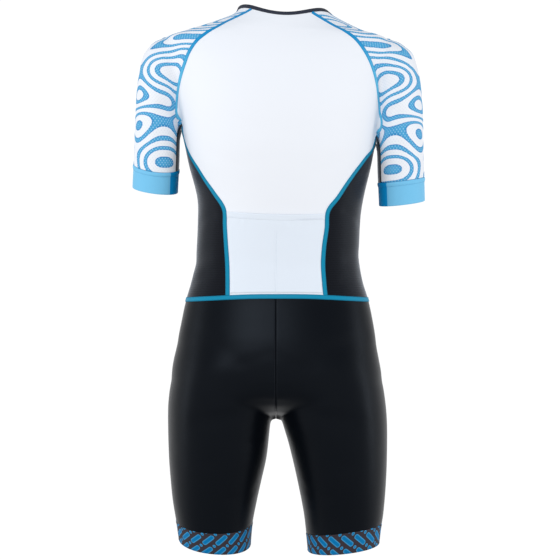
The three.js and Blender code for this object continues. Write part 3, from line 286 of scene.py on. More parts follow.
# Folds and creases in the cloth, in millimetres: a line from one point to another, how wide and
# how deep. A depth under 0 is a ridge. The first eleven are the large ones.
FOLDS = np.array((
    # armpits, behind and in front
    (186, 52, -150, 163, 26, -172, 11, 3), (188, -56, -148, 163, -28, -172, 11, 3),
    (-196, 52, -158, -175, 30, -184, 11, 2.5), (-198, -56, -156, -175, -32, -184, 11, 2.5),
    # right sleeve, waist, under the seat, groin
    (-216, 52, -118, -190, 51, -162, 10, -1.6), (126, 50, -398, 134, -20, -412, 14, 1.6),
    (-128, 48, -404, -138, -24, -392, 14, 1.6), (40, 98, -655, 120, 100, -668, 16, 2),
    (-40, 98, -655, -120, 100, -668, 16, 2), (14, -84, -630, 96, -92, -585, 14, 2.4),
    (-14, -84, -630, -98, -92, -585, 14, 2.4),
    # left armpit, behind: two short folds that run down into the seam
    (178, 50, -155, 166, 40, -166, 4, 1.5), (176, 46, -163, 165, 36, -170, 3.5, -0.7),
    (163, 42, -182, 172, 38, -190, 4, 1.0), (214, 50, -138, 186, 50, -160, 6, 0.8),
    # left sleeve: a thin slanting crease above the cuff, and soft ones over the shoulder
    (236, 20, -131, 205, 48, -142, 3.5, 0.7), (232, 26, -136, 203, 50, -147, 3, -0.4),
    (222, 30, -190, 196, 49, -200, 7, 0.7), (236, 8, -84, 218, 38, -96, 6, 0.8),
    (196, 30, -46, 174, 44, -60, 6, 0.7), (214, 28, -70, 190, 48, -80, 6, -0.5),
    # right sleeve: two thin slanting creases side by side, and a soft fold outside them
    (-221, 46, -127, -197, 52, -153, 3, 0.9), (-197, 52, -153, -186, 50, -172, 3, 0.8),
    (-216, 49, -124, -192, 53, -150, 2.6, -0.5), (-232, 34, -155, -211, 48, -219, 7, 0.9),
    (-228, 36, -77, -222, 40, -83, 3.5, 0.8), (-236, 26, -96, -214, 46, -110, 6, 0.7),
    (-206, 40, -214, -186, 44, -232, 6, 0.7), (-190, 34, -48, -170, 44, -62, 6, 0.6),
    # yoke: short creases beside the raglan seams
    (128, 72, -30, 116, 74, -36, 3.5, 0.8), (140, 76, -47, 127, 78, -54, 3.5, 0.8),
    (-146, 74, -52, -134, 77, -62, 4, 0.8), (150, 78, -92, 134, 88, -110, 7, 0.7),
    (-160, 76, -96, -142, 88, -118, 7, 0.7), (60, 74, -22, 10, 78, -34, 9, 0.5),
    (-80, 74, -24, -30, 78, -36, 9, 0.5), (80, 98, -168, 30, 108, -190, 16, 0.7),
    (-100, 96, -176, -40, 106, -204, 16, 0.7), (110, 84, -228, 60, 98, -250, 12, 0.6),
    (-118, 84, -236, -66, 98, -262, 12, 0.6),
    # waist and small of the back: cross folds where the body bends, over the pocket too
    (-6, 94, -338, -34, 93, -344, 4, 0.5), (-10, 93, -347, -30, 92, -356, 3.5, 0.5),
    (-2, 90, -366, -44, 89, -372, 9, 0.5), (70, 80, -398, 20, 84, -408, 12, 0.6),
    (-72, 78, -410, -26, 83, -422, 12, 0.6), (60, 84, -444, 10, 86, -438, 10, 0.5),
    (108, 56, -330, 130, 26, -342, 9, 0.8), (-116, 56, -322, -140, 20, -338, 9, 0.8),
    (112, 58, -428, 138, 24, -440, 9, 0.7), (-116, 58, -436, -142, 20, -430, 9, 0.7),
    (140, 20, -250, 128, 44, -262, 8, 0.6), (-154, 18, -258, -140, 46, -272, 8, 0.6),
    # shorts behind: shallow pulls from the seat outwards, and round the thighs
    (6, 108, -560, 58, 112, -574, 11, 0.6), (-8, 108, -566, -60, 112, -584, 11, 0.6),
    (4, 92, -636, 52, 104, -648, 7, 1.1), (-4, 92, -640, -56, 104, -654, 7, 1.1),
    (150, 60, -520, 100, 96, -534, 12, 0.5), (-152, 62, -528, -104, 96, -546, 12, 0.5),
    (20, 60, -700, 50, 92, -712, 8, 0.8), (-18, 60, -694, -52, 92, -710, 8, 0.8),
    (160, 50, -724, 110, 92, -738, 14, 0.6), (-166, 50, -730, -116, 92, -746, 14, 0.6),
    (40, 40, -790, 76, 78, -800, 9, 0.6), (-52, 40, -786, -88, 76, -796, 9, 0.6),
    # front: armpits, chest and waist, and across the groin, much as behind
    (176, -54, -160, 164, -42, -172, 4, 1.2), (-186, -54, -170, -175, -42, -184, 4, 1.2),
    (150, -84, -118, 128, -98, -140, 8, 0.8), (-160, -84, -122, -136, -98, -146, 8, 0.8),
    (212, -46, -136, 188, -54, -158, 6, 0.8), (-222, -46, -132, -196, -54, -160, 6, 0.8),
    (-232, -30, -160, -214, -44, -216, 7, 0.8), (222, -30, -186, 198, -46, -202, 7, 0.7),
    (70, -108, -356, 16, -112, -366, 10, 0.6), (-80, -108, -366, -26, -112, -380, 10, 0.6),
    (86, -98, -420, 22, -103, -432, 10, 0.7), (-90, -98, -430, -30, -103, -442, 10, 0.7),
    (10, -96, -604, 60, -98, -590, 8, 0.8), (-10, -96, -606, -64, -98, -588, 8, 0.8),
    (150, -60, -700, 96, -92, -716, 14, 0.6), (-156, -60, -706, -100, -92, -724, 14, 0.6)))


def fold_depth(p):
    """How deep the folds press the cloth in: each is deepest along its line and dies away from it
    as a bell curve of the distance."""
    depth = np.zeros(p.shape[:-1])
    for x1, y1, z1, x2, y2, z2, width, deep in FOLDS:
        start, along = np.array((x1, y1, z1)), np.array((x2 - x1, y2 - y1, z2 - z1))
        t = np.clip((p - start) @ along / (along @ along), 0, 1)
        away = p - start - t[..., None] * along
        depth += deep * np.exp(-(away ** 2).sum(-1) / width ** 2)
    return depth


# Seam lines, given by a few points each that are then drawn onto the form. The front side seams
# mirror the back ones. A seam has the same number of rows as the panels on both sides of it.
RAGLAN_BACK_LEFT = ((75, 50, -1), (103, 63, -20), (127, 67, -35), (143, 69, -56), (155, 65, -87),
                    (164, 53, -112), (168, 42, -135), (166, 31, -160))
RAGLAN_BACK_RIGHT = ((-88, 53, -6), (-111, 61, -22), (-131, 65, -36), (-148, 66, -57), (-160, 62, -80),
                     (-169, 53, -110), (-175, 43, -140), (-176, 32, -172))
RAGLAN_FRONT_LEFT = ((66, -70, -38), (94, -80, -56), (120, -84, -76), (138, -80, -96), (152, -70, -116),
                     (162, -56, -136), (166, -42, -154), (165, -31, -170))
RAGLAN_FRONT_RIGHT = ((-84, -70, -42), (-106, -78, -58), (-128, -82, -76), (-146, -79, -96),
                      (-160, -69, -118), (-170, -56, -142), (-175, -43, -164), (-176, -32, -184))
SIDE_LEFT = ((154, 24, -208), (138, 46, -240), (116, 60, -278), (96, 68, -306), (84.5, 70, -326),
             (85, 67, -350), (82, 66, -400), (80, 74, -466))
SIDE_RIGHT = ((-166, 28, -214), (-148, 54, -238), (-124, 66, -270), (-104, 71, -300), (-86, 73, -324),
              (-85, 71, -346), (-79, 69, -398), (-82, 74, -466))
CREST_LEFT = ((95, -5, 8), (130, -5, -5), (168, -5, -16), (195, -5, -25), (214, -5, -36), (226, -5, -53),
              (232, -5, -78), (237, -5, -108), (240, -5, -140), (241, -5, -172))
CREST_RIGHT = ((-116, -5, 3), (-145, -5, -9), (-172, -5, -19), (-198, -5, -28), (-218, -5, -38),
               (-232, -5, -52), (-240, -5, -74), (-246, -5, -102), (-251, -5, -146), (-252, -5, -190))
SEAM_GAP = 0.3
RAGLAN_STEPS, SIDE_STEPS, ARM_STEPS = 12, 11, 5
RAYS = 49
NECK_AXIS = (-11, -4)
RAGLAN_ANGLE = {"back_left": 43, "front_left": -52, "back_right": 132, "front_right": 232}
PIT = {"left": (162, 18), "right": (-171, 18)}
CROWN_GAP, CROWN_REACH = 0.35, 16.8
BODY_AXIS = -6
WAIST_Z, WAIST_DROP = -465, 6
SIGN = {"left": 1, "right": -1}


def outward(angle):
    """Level directions at angles from +X toward +Y."""
    return np.stack([np.cos(angle), np.sin(angle), np.zeros_like(angle)], axis=-1)


def beside(x, y, z):
    """Points from three numbers or arrays."""
    return np.stack(np.broadcast_arrays(np.asarray(x, float), y, z), axis=-1)


def neckline_height(angle):
    """The neckline is high at both sides, lower behind and lowest in front: a round of sines."""
    return -0.9 + 21.75 * np.sin(angle) + 3.5 * np.cos(angle) + 17.4 * np.cos(2 * angle)


def neckline(degrees, lift=0.0):
    """Points of the neckline at angles round the neck, or of a line so far over it."""
    angle = np.radians(np.asarray(degrees, float))
    return rays_out(beside(*NECK_AXIS, neckline_height(angle) + lift), outward(angle))


def waist_height(angle):
    """The waist line is level behind and in front and drops at both sides."""
    return WAIST_Z - WAIST_DROP * np.cos(angle) ** 4


def armpit_crown(x, y):
    """Where body and arm part, straight down from inside."""
    return rays_out(beside(x, y, -150), (0, 0, -1.0))


def body_seam(side, face):
    """A raglan seam and the side seam under it as one row of points: smooth curves through the
    given ones, laid on the form. They meet at the corner of the armpit."""
    raglan = {"back_left": RAGLAN_BACK_LEFT, "back_right": RAGLAN_BACK_RIGHT,
              "front_left": RAGLAN_FRONT_LEFT, "front_right": RAGLAN_FRONT_RIGHT}[f"{face}_{side}"]
    toward = 1 if face == "back" else -1
    below = np.array(SIDE_LEFT if side == "left" else SIDE_RIGHT) * (1, toward, 1)
    top = neckline(RAGLAN_ANGLE[f"{face}_{side}"], -SEAM_GAP / 2)
    corner = armpit_crown(PIT[side][0], toward * PIT[side][1])
    upper = onto_form(smooth_path([top, *raglan, corner], RAGLAN_STEPS + 1), 8)
    upper[0], upper[-1] = top, corner
    lower = onto_form(smooth_path([corner, *below], SIDE_STEPS + 1), 8)
    lower[0] = corner
    return np.concatenate([upper, lower[1:]])


seams = {(side, face): body_seam(side, face) for side in SIGN for face in ("back", "front")}


def turn_between(start, end):
    """Angles round the body's axis from one seam's points to another's, the short way round."""
    a = np.arctan2(start[:, 1], start[:, 0] - BODY_AXIS)
    b = np.arctan2(end[:, 1], end[:, 0] - BODY_AXIS)
    return a, a + (b - a + math.pi) % (2 * math.pi) - math.pi


def torso_rows(start, end, first_row):
    """Rows round the torso from one seam to another, at heights that go evenly from one end's to
    the other's. Near the neck they take on the neckline's curve, and the last one the waist's."""
    a, b = turn_between(start, end)
    t = np.linspace(0, 1, RAYS)
    angle = a[:, None] + (b - a)[:, None] * t
    row = first_row + np.arange(len(start))[:, None]
    level = start[:, 2:] + (end[:, 2:] - start[:, 2:]) * t
    ends = neckline_height(a)[:, None] * (1 - t) + neckline_height(b)[:, None] * t
    level = level + np.clip(1 - row / 4, 0, 1) ** 2 * (neckline_height(angle) - ends)
    level = np.where(row == RAGLAN_STEPS + SIDE_STEPS, waist_height(angle) + SEAM_GAP / 2, level)
    points = rays_out(beside(BODY_AXIS, 0, level), outward(angle))
    points[:-1, 0], points[:-1, -1] = start[:-1], end[:-1]
    return points


def down_rows(rows, step, corners=()):
    """More rows between the given ones, about a step apart, on smooth curves that may turn a
    corner at some rows."""
    result = []
    stops = [0, *corners, len(rows) - 1]
    for first, last in zip(stops, stops[1:]):
        part = rows[first:last + 1]
        before = np.maximum(np.arange(len(part)) - 1, 0)
        after = np.minimum(np.arange(len(part)) + 1, len(part) - 1)
        slope = (part[after] - part[before]) / (after - before)[:, None, None]
        for i in range(len(part) - 1):
            apart = np.linalg.norm(part[i + 1] - part[i], axis=-1).mean()
            count = max(int(round(apart / step)), 1)
            t = np.arange(count)[:, None, None] / count
            result.append(part[i] * (1 - t * t * (3 - 2 * t)) + part[i + 1] * t * t * (3 - 2 * t)
                          + slope[i] * t * (1 - t) ** 2 + slope[i + 1] * t * t * (t - 1))
    return np.concatenate([*result, rows[-1:]])


def along_rows(rows, count, edge):
    """Points along each row, even in the middle, with two close to each end so that the cut edge
    can be rounded."""
    result = np.empty((len(rows), count + 4, 3))
    for k, row in enumerate(rows):
        length = np.concatenate([[0], np.cumsum(np.linalg.norm(np.diff(row, axis=0), axis=1))])
        whole = length[-1]
        near = np.array([edge, edge + 0.5])
        between = np.linspace(edge + 1.4, whole - edge - 1.4, count)
        places = np.concatenate([near, between, whole - near[::-1]])
        for axis in range(3):
            result[k, :, axis] = np.interp(places, length, row[:, axis])
    return result


def with_edge_rows(rows):
    """Two more rows close to the first row and two close to the last."""
    top = rows[0] + (rows[1] - rows[0]) * np.array([[[0.2]], [[0.55]]])
    foot = rows[-1] + (rows[-2] - rows[-1]) * np.array([[[0.55]], [[0.2]]])
    return np.concatenate([rows[:1], top, rows[1:-1], foot, rows[-1:]])


STEP = 2.6                 # spacing of a panel's points
ROUNDING = np.array([0.55, 0.12])


def edge_drop(rows, columns, sides=True):
    """How far the cloth's outer face rounds down at its cut edges."""
    down = np.zeros(rows)
    down[:2], down[-2:] = ROUNDING, ROUNDING[::-1]
    across = np.zeros(columns)
    if sides:
        across[:2], across[-2:] = ROUNDING, ROUNDING[::-1]
    return np.maximum(down[:, None], across)


def cloth_distances(grid):
    """Millimetres along the rows from their middle, and down the columns from the first row."""
    step = np.linalg.norm(np.diff(grid, axis=1), axis=-1)
    along = np.concatenate([np.zeros((len(grid), 1)), np.cumsum(step, axis=1)], axis=1)
    fall = np.linalg.norm(np.diff(grid, axis=0), axis=-1).mean(axis=1)
    down = np.concatenate([[0], np.cumsum(fall)])
    return np.stack([along - along[:, -1:] / 2, np.broadcast_to(down[:, None], along.shape)], axis=-1)


def shell(name, outer, inner, uv, material, join_from=None):
    """A closed sheet of cloth between an outer and an inner grid of points, in millimetres. From
    row join_from on, the last column is the first one again."""
    rows, columns = outer.shape[:2]
    count = rows * columns
    index = np.arange(count).reshape(rows, columns)
    open_rows = rows if join_from is None else join_from + 1
    rims = [(index[0], index[0] + count), (index[-1] + count, index[-1])]
    if open_rows > 1:
        rims += [(index[:open_rows, 0] + count, index[:open_rows, 0]),
                 (index[:open_rows, -1], index[:open_rows, -1] + count)]
    faces = [quads(index), quads(index + count)[:, ::-1]] + [quads(np.stack(rim))[:, ::-1] for rim in rims]
    faces = np.concatenate(faces)
    vertex = np.arange(2 * count)
    if join_from is not None:
        joined = index[join_from:, -1]
        vertex[joined] = index[join_from:, 0]
        vertex[joined + count] = index[join_from:, 0] + count
    corners = vertex[faces]
    points = np.concatenate([outer.reshape(-1, 3), inner.reshape(-1, 3)]) * MM
    a, b, c, d = (points[corners[:, k]] for k in range(4))
    volume = (np.cross(b - a, c - a) * a).sum() + (np.cross(c - a, d - a) * a).sum()
    if volume < 0:
        faces, corners = faces[:, ::-1], corners[:, ::-1]
    used, compact = np.unique(corners, return_inverse=True)
    mesh = quad_mesh(name, points[used], compact.reshape(-1, 4))
    layer = mesh.uv_layers.new(name="cloth_mm")
    layer.data.foreach_set("uv", uv.reshape(-1, 2)[faces.reshape(-1) % count].reshape(-1).astype(np.float32))
    mesh.validate()
    return placed(name, mesh, material)


# Materials. Every cloth shares one group, the height of a knit, and the prints are drawn in
# millimetres of cloth, which every panel carries as its UV map.
def srgb(red, green, blue):
    """A colour as seen on a screen, 0 to 255, in the values that shaders use."""
    share = np.array((red, green, blue)) / 255
    linear = np.where(share < 0.04045, share / 12.92, ((share + 0.055) / 1.055) ** 2.4)
    return (*(float(v) for v in linear), 1)


class Sketch:
    """Adds nodes to a tree: each call makes a node, sets its inputs and gives its first output."""

    def __init__(self, tree):
        self.tree = tree

    def node(self, kind, inputs=(), **settings):
        made = self.tree.nodes.new(kind)
        for key, value in settings.items():
            setattr(made, key, value)
        for key, value in dict(inputs).items():
            socket = made.inputs[key]
            if isinstance(value, bpy.types.NodeSocket):
                self.tree.links.new(value, socket)
            else:
                socket.default_value = value
        return made

    def math(self, operation, a, b=0.0):
        return self.node("ShaderNodeMath", {0: a, 1: b}, operation=operation).outputs[0]

    def mix(self, share, a, b):
        made = self.node("ShaderNodeMix", {0: share, 6: a, 7: b}, data_type="RGBA")
        return made.outputs[2]

    def smooth(self, value, low, high):
        """0 below low, 1 above high, and a soft step between."""
        limits = {0: value, 1: low, 2: high}
        made = self.node("ShaderNodeMapRange", limits, interpolation_type="SMOOTHSTEP")
        return made.outputs[0]

    def link(self, value, socket):
        self.tree.links.new(value, socket)

    def noise(self, vector, scale, detail=2.0):
        inputs = {"Vector": vector, "Scale": scale, "Detail": detail}
        return self.node("ShaderNodeTexNoise", inputs).outputs[0]

    def parts(self, vector):
        return self.node("ShaderNodeSeparateXYZ", {0: vector}).outputs

    def times(self, vector, factors):
        return self.node("ShaderNodeVectorMath", {0: vector, 1: factors}, operation="MULTIPLY").outputs[0]

    def span(self, value, low, high, at_low, at_high):
        limits = {0: value, 1: low, 2: high, 3: at_low, 4: at_high}
        return self.node("ShaderNodeMapRange", limits).outputs[0]


def new_group(name, inputs, outputs):
    """A shader node group with its sockets; gives a sketch of it and its input and output nodes."""
    tree = bpy.data.node_groups.new(name, "ShaderNodeTree")
    for key, value in inputs:
        kind = "NodeSocketVector" if value is None else "NodeSocketFloat"
        socket = tree.interface.new_socket(key, in_out="INPUT", socket_type=kind)
        if value is not None:
            socket.default_value = value
    for key in outputs:
        tree.interface.new_socket(key, in_out="OUTPUT", socket_type="NodeSocketFloat")
    return Sketch(tree), tree.nodes.new("NodeGroupInput"), tree.nodes.new("NodeGroupOutput")


def wave(sketch, value, pitch):
    """A sine from 0 to 1 with one wave to a pitch."""
    turns = sketch.math("DIVIDE", value, pitch)
    sine = sketch.math("SINE", sketch.math("MULTIPLY", turns, 2 * math.pi))
    return sketch.math("ADD", sketch.math("MULTIPLY", sine, 0.5), 0.5)


# The sweep glows evenly white where it stands in front of the suit, and less behind it, under it
# and high up, so that the cloth keeps some shade.
sweep_material = bpy.data.materials.new("pale_sweep")
sweep_material.use_nodes = True
glow = Sketch(sweep_material.node_tree)
sweep_place = glow.node("ShaderNodeTexCoord").outputs["Object"]
from_middle = glow.node("ShaderNodeVectorMath", {0: glow.times(sweep_place, (1, 1, 0))}, operation="LENGTH")
from_middle = from_middle.outputs["Value"]
_, toward_back, up = glow.parts(sweep_place)
under_suit = glow.span(from_middle, 0.5, 1.2, 0.6, 1.02)
high_up = glow.span(up, 0.9, 2.2, 1.0, 0.55)
behind_suit = glow.span(glow.math("DIVIDE", toward_back, from_middle), -0.6, 0.3, 1.0, 0.8)
sweep_glow = glow.math("MULTIPLY", glow.math("MULTIPLY", under_suit, high_up), behind_suit)
sweep_shader = sweep_material.node_tree.nodes["Principled BSDF"]
sweep_shader.inputs["Base Color"].default_value = (0.02, 0.02, 0.02, 1)
sweep_shader.inputs["Roughness"].default_value = 1.0
sweep_shader.inputs["Specular IOR Level"].default_value = 0.0
sweep_shader.inputs["Emission Color"].default_value = (1, 1, 1, 1)
glow.link(sweep_glow, sweep_shader.inputs["Emission Strength"])
sweep_points = sweep_grid()[:, :-1]
sweep_index = np.arange(sweep_points.shape[0] * sweep_points.shape[1]).reshape(sweep_points.shape[:2])
sweep_faces = quads(np.concatenate([sweep_index, sweep_index[:, :1]], axis=1))[:, ::-1]
sweep = placed("pale_sweep", quad_mesh("pale_sweep", sweep_points, sweep_faces), sweep_material)

# A knit's height: the product of two waves, across and along the cloth, under a little fluff.
knit_sockets = (("Cloth mm", None), ("Wale", 0.9), ("Course", 0.7))
knit, knit_in, knit_out = new_group("knit_height", knit_sockets, ("Height",))
parts = knit.node("ShaderNodeSeparateXYZ", {0: knit_in.outputs["Cloth mm"]})
loop_rows = wave(knit, parts.outputs[1], knit_in.outputs["Course"])
loop_columns = wave(knit, parts.outputs[0], knit_in.outputs["Wale"])
fluff = knit.noise(knit_in.outputs["Cloth mm"], 1.7)
loops = knit.math("MULTIPLY", loop_rows, loop_columns)
height = knit.math("ADD", knit.math("MULTIPLY", loops, 0.7), knit.math("MULTIPLY", fluff, 0.5))
knit.link(height, knit_out.inputs["Height"])


SHEEN_BLUE, GLOSS_BLUE = (0.8, 0.88, 1, 1), (0.78, 0.87, 1, 1)


def cloth_material(name, colour, roughness, wale=0.9, course=0.7, bump=0.05, sheen=0.0, gloss=0.25):
    """A knitted cloth: one colour, and loops as bumps. Gives the material and a sketch of it with
    what a print or a rib needs: the place on the cloth, the loops' height and the two sockets."""
    material = bpy.data.materials.new(name)
    material.use_nodes = True
    sketch = Sketch(material.node_tree)
    shader = material.node_tree.nodes["Principled BSDF"]
    for socket, value in (("Base Color", colour), ("Roughness", roughness), ("Specular IOR Level", gloss),
                          ("Specular Tint", GLOSS_BLUE), ("Sheen Weight", sheen), ("Sheen Roughness", 0.4),
                          ("Sheen Tint", SHEEN_BLUE)):
        shader.inputs[socket].default_value = value
    sketch.cloth = sketch.node("ShaderNodeUVMap", uv_map="cloth_mm").outputs[0]
    loops = sketch.node("ShaderNodeGroup", node_tree=knit.tree)
    sketch.link(sketch.cloth, loops.inputs["Cloth mm"])
    loops.inputs["Wale"].default_value = wale
    loops.inputs["Course"].default_value = course
    sketch.height = loops.outputs[0]
    bumps = sketch.node("ShaderNodeBump", {"Height": sketch.height, "Distance": bump * MM, "Strength": 1.0})
    sketch.link(bumps.outputs[0], shader.inputs["Normal"])
    sketch.colour, sketch.relief = shader.inputs["Base Color"], bumps.inputs["Height"]
    return material, sketch


def lay(name, base, material, over, under, join_from=None, uv=None):
    """A piece of cloth on a grid of points of the form, from one height over the form to another,
    pressed in by the folds."""
    out = normal_at(base)
    pressed = base - out * fold_depth(base)[..., None]
    outer = pressed + out * np.broadcast_to(over, base.shape[:2])[..., None]
    inner = pressed + out * np.broadcast_to(under, base.shape[:2])[..., None]
    if uv is None:
        uv = cloth_distances(base)
    return shell(name, outer, inner, uv, material, join_from)


def panel_grid(rows, columns, corners=()):
    """A panel's points on the form, from rows that were cast on it."""
    fine = down_rows(along_rows(rows, columns, SEAM_GAP / 2), STEP, corners)
    return onto_form(with_edge_rows(fine), 3)


def on_suit(piece, node):
    """A piece of cloth on the suit, which stands for a CAD node: it is attached to the suit's body and
    the node's CAD part is hidden."""
    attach(piece, "suit")
    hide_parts(node)


CLOTH = 1.5                # thickness of a panel, in millimetres


# Back panel: one piece of thin white knit from raglan seam to raglan seam at the top and between
# the side seams below, down to the waist. Sewn in on all sides.
white_knit, _ = cloth_material("white_knit", srgb(243, 245, 250), 0.85, bump=0.03, gloss=0.15)
back_rows = torso_rows(seams["left", "back"], seams["right", "back"], 0)
back_neck = np.linspace(RAGLAN_ANGLE["back_left"], RAGLAN_ANGLE["back_right"], RAYS)
back_rows[0] = neckline(back_neck, -SEAM_GAP / 2)
back_grid = panel_grid(back_rows, 116, (RAGLAN_STEPS,))
back_panel = lay("back_panel_cloth", back_grid, white_knit, -edge_drop(*back_grid.shape[:2]), -CLOTH)
on_suit(back_panel, "back_panel")


# Front panels: two plain white pieces that meet at the zip, cut like the back but deeper at the
# neck. The front is not in the photograph.
ZIP_X, ZIP_WIDTH = -8, 8
ZIP_DEGREES, ZIP_TURN = -87.8, 3.4


def in_front(x, z):
    """Points of the form straight in front of places on its middle plane."""
    return rays_out(beside(x, 0, z), (0, -1.0, 0))


for side, sign in SIGN.items():
    seam = seams[side, "front"]
    top_z = neckline_height(-math.pi / 2) - SEAM_GAP / 2
    share = np.linspace(0, 1, RAGLAN_STEPS + SIDE_STEPS + 1)
    edge_z = top_z + (WAIST_Z - top_z) * share * (0.55 + 0.45 * share)
    edge_z[-1] = WAIST_Z + SEAM_GAP / 2
    zip_line = in_front(ZIP_X + sign * ZIP_WIDTH / 2, edge_z)
    rows = torso_rows(seam, zip_line, 0)
    raglan_end = RAGLAN_ANGLE["front_left"] if side == "left" else RAGLAN_ANGLE["front_right"] - 360
    round_neck = neckline(np.linspace(raglan_end, ZIP_DEGREES + sign * ZIP_TURN, RAYS - 1), -SEAM_GAP / 2)
    rows[0] = np.concatenate([round_neck, zip_line[:1]])
    grid = panel_grid(rows, 62, (RAGLAN_STEPS,))
    piece = lay(f"front_panel_{side}_cloth", grid, white_knit, -edge_drop(*grid.shape[:2]), -CLOTH)
    on_suit(piece, f"front_panel_{side}")


# Side panels: black knit with fine ribs across, satin to the eye, from the armpit to the waist and
# from the back side seam round to the front one.
# Painted shade and light on the ribs: the colour is darker in each rib's hollow and lighter on its top, in
# step with the rib bumps.
RIB_PAINTED_SHADE, RIB_PAINTED_LIGHT = srgb(6, 7, 12), srgb(17, 18, 25)
RIB_PITCH, RIB_HEIGHT = 3.0, 0.22
ribbed_knit, ribbed = cloth_material("ribbed_black_knit", srgb(10, 11, 17), 0.4, bump=RIB_HEIGHT, sheen=0.5,
                                     gloss=0.09)
rib = wave(ribbed, ribbed.parts(ribbed.cloth)[1], RIB_PITCH)
loops = ribbed.math("MULTIPLY", ribbed.height, 0.12)
# Paints the ribs' shade into their hollows and light onto their tops.
ribbed.link(ribbed.mix(rib, RIB_PAINTED_SHADE, RIB_PAINTED_LIGHT), ribbed.colour)
ribbed.link(ribbed.math("ADD", ribbed.math("MULTIPLY", rib, 0.9), loops), ribbed.relief)
for side, sign in SIGN.items():
    back, front = seams[side, "back"], seams[side, "front"]
    rows = torso_rows(back[RAGLAN_STEPS:], front[RAGLAN_STEPS:], RAGLAN_STEPS)
    rows[0] = armpit_crown(PIT[side][0], np.linspace(CROWN_REACH, -CROWN_REACH, RAYS))
    rows[0, :, 0] -= sign * CROWN_GAP
    grid = down_rows(along_rows(rows, 66, SEAM_GAP / 2), STEP)
    grid[4:] = onto_form(grid[4:], 3)
    grid = with_edge_rows(grid)
    piece = lay(f"side_panel_{side}_cloth", grid, ribbed_knit, -edge_drop(*grid.shape[:2]), -CLOTH)
    on_suit(piece, f"side_panel_{side}")


# Sleeves: raglan sleeves of white mesh knit that run from the neck over the shoulder and down to
# the cuff. Only the two edges under the arm aren't taped.
CUFF_TOP = {"left": (-244.5, 204, 0.14, -0.27), "right": (-266.5, -213, -0.13, -0.11)}
CUFF_END = {"left": (-284.5, 204, 0.14, -0.2), "right": (-307, -213, -0.12, -0.116)}
UNDERARM_BACK, UNDERARM_FRONT = 152, 208
CREST_PULL = 0.15
ARM_RADIUS = 45


def plane_height(plane, p):
    """A tilted plane's height at a point: z at its own x, then so much per millimetre of x and y."""
    z, x, per_x, per_y = plane
    return z + per_x * (p[..., 0] - x) + per_y * p[..., 1]


def arm_axis(side):
    heights, values = LIMBS[3 if side == "left" else 4]
    z = CUFF_TOP[side][0]
    return (np.interp(z, heights, values[:, 0]) + np.interp(z, heights, values[:, 1])) / 2


def arm_rows(side, shares, degrees, lower, upper):
    """Rows round an arm, at shares of the way from one height to another. The heights are
    functions of the point, so three passes settle them."""
    shares = np.asarray(shares, float)[:, None]
    angle = np.radians(degrees)
    direction = outward(angle) * (SIGN[side], 1, 1) + np.zeros((*shares.shape, 1))
    axis = arm_axis(side)
    p = beside(axis, 0, np.zeros(direction.shape[:2])) + direction * ARM_RADIUS
    for _ in range(3):
        z = upper(p) * (1 - shares) + lower(p) * shares
        p = rays_out(beside(axis, 0, z), direction)
    return p


def sleeve_foot(side):
    """The height of a sleeve's lower edge, as a function of a point near it."""
    return lambda p: plane_height(CUFF_TOP[side], p) + SEAM_GAP


def rows_over(start, past, end):
    """Rows of the surface seen from a point between their ends, turning from one end to the other
    past a third point."""
    origin = (start + end) / 2 * (1 - CREST_PULL) + past * CREST_PULL
    ahead = past - origin
    ahead /= np.linalg.norm(ahead, axis=-1, keepdims=True)
    side = start - end
    side -= ahead * (side * ahead).sum(-1, keepdims=True)
    side /= np.linalg.norm(side, axis=-1, keepdims=True)
    a = np.arctan2(((start - origin) * side).sum(-1), ((start - origin) * ahead).sum(-1))
    b = np.arctan2(((end - origin) * side).sum(-1), ((end - origin) * ahead).sum(-1))
    angle = a[:, None] + (b - a)[:, None] * np.linspace(0, 1, RAYS)
    direction = np.cos(angle)[..., None] * ahead[:, None] + np.sin(angle)[..., None] * side[:, None]
    points = rays_out(np.broadcast_to(origin[:, None], direction.shape), direction)
    points[:, 0], points[:, -1] = start, end
    return points


# The print is plain ripples: the level lines of a slow random field, in two blues. The knit has
# small round openings 4 mm apart, which show lighter in the blue; in the white they are painted
# faintly grey as shade inside them.
# The product of two waves peaks once in each cell's corner and once in its middle.
RIPPLES, OPENING_CELL = 9.0, 5.6
mesh_knit, mesh = cloth_material("printed_mesh_knit", srgb(243, 245, 250), 0.8, bump=0.05, gloss=0.15)
field = mesh.noise(mesh.times(mesh.cloth, (0.011, 0.014, 0)), 1.0, 0.0)
level = mesh.math("SINE", mesh.math("MULTIPLY", field, 2 * math.pi * RIPPLES))
ripple = mesh.smooth(level, 0.18, 0.26)
ripple_heart = mesh.smooth(level, 0.3, 0.95)
cell_turn = 2 * math.pi / OPENING_CELL
cell_x, cell_y, _ = mesh.parts(mesh.times(mesh.cloth, (cell_turn, cell_turn, 0)))
dots = mesh.math("MULTIPLY", mesh.math("COSINE", cell_x), mesh.math("COSINE", cell_y))
dots = mesh.smooth(dots, 0.3, 0.7)
ripple_blue = mesh.mix(ripple_heart, srgb(34, 134, 196), srgb(78, 168, 216))
dotted_blue = mesh.mix(mesh.math("MULTIPLY", dots, 0.6), ripple_blue, srgb(190, 224, 242))
# Painted shade: the openings in the white are painted faintly grey.
white_with_shaded_openings = mesh.mix(mesh.math("MULTIPLY", dots, 0.35), srgb(243, 245, 250), srgb(216, 221, 232))
mesh.link(mesh.mix(ripple, white_with_shaded_openings, dotted_blue), mesh.colour)
mesh.link(mesh.math("SUBTRACT", mesh.height, mesh.math("MULTIPLY", dots, 1.5)), mesh.relief)
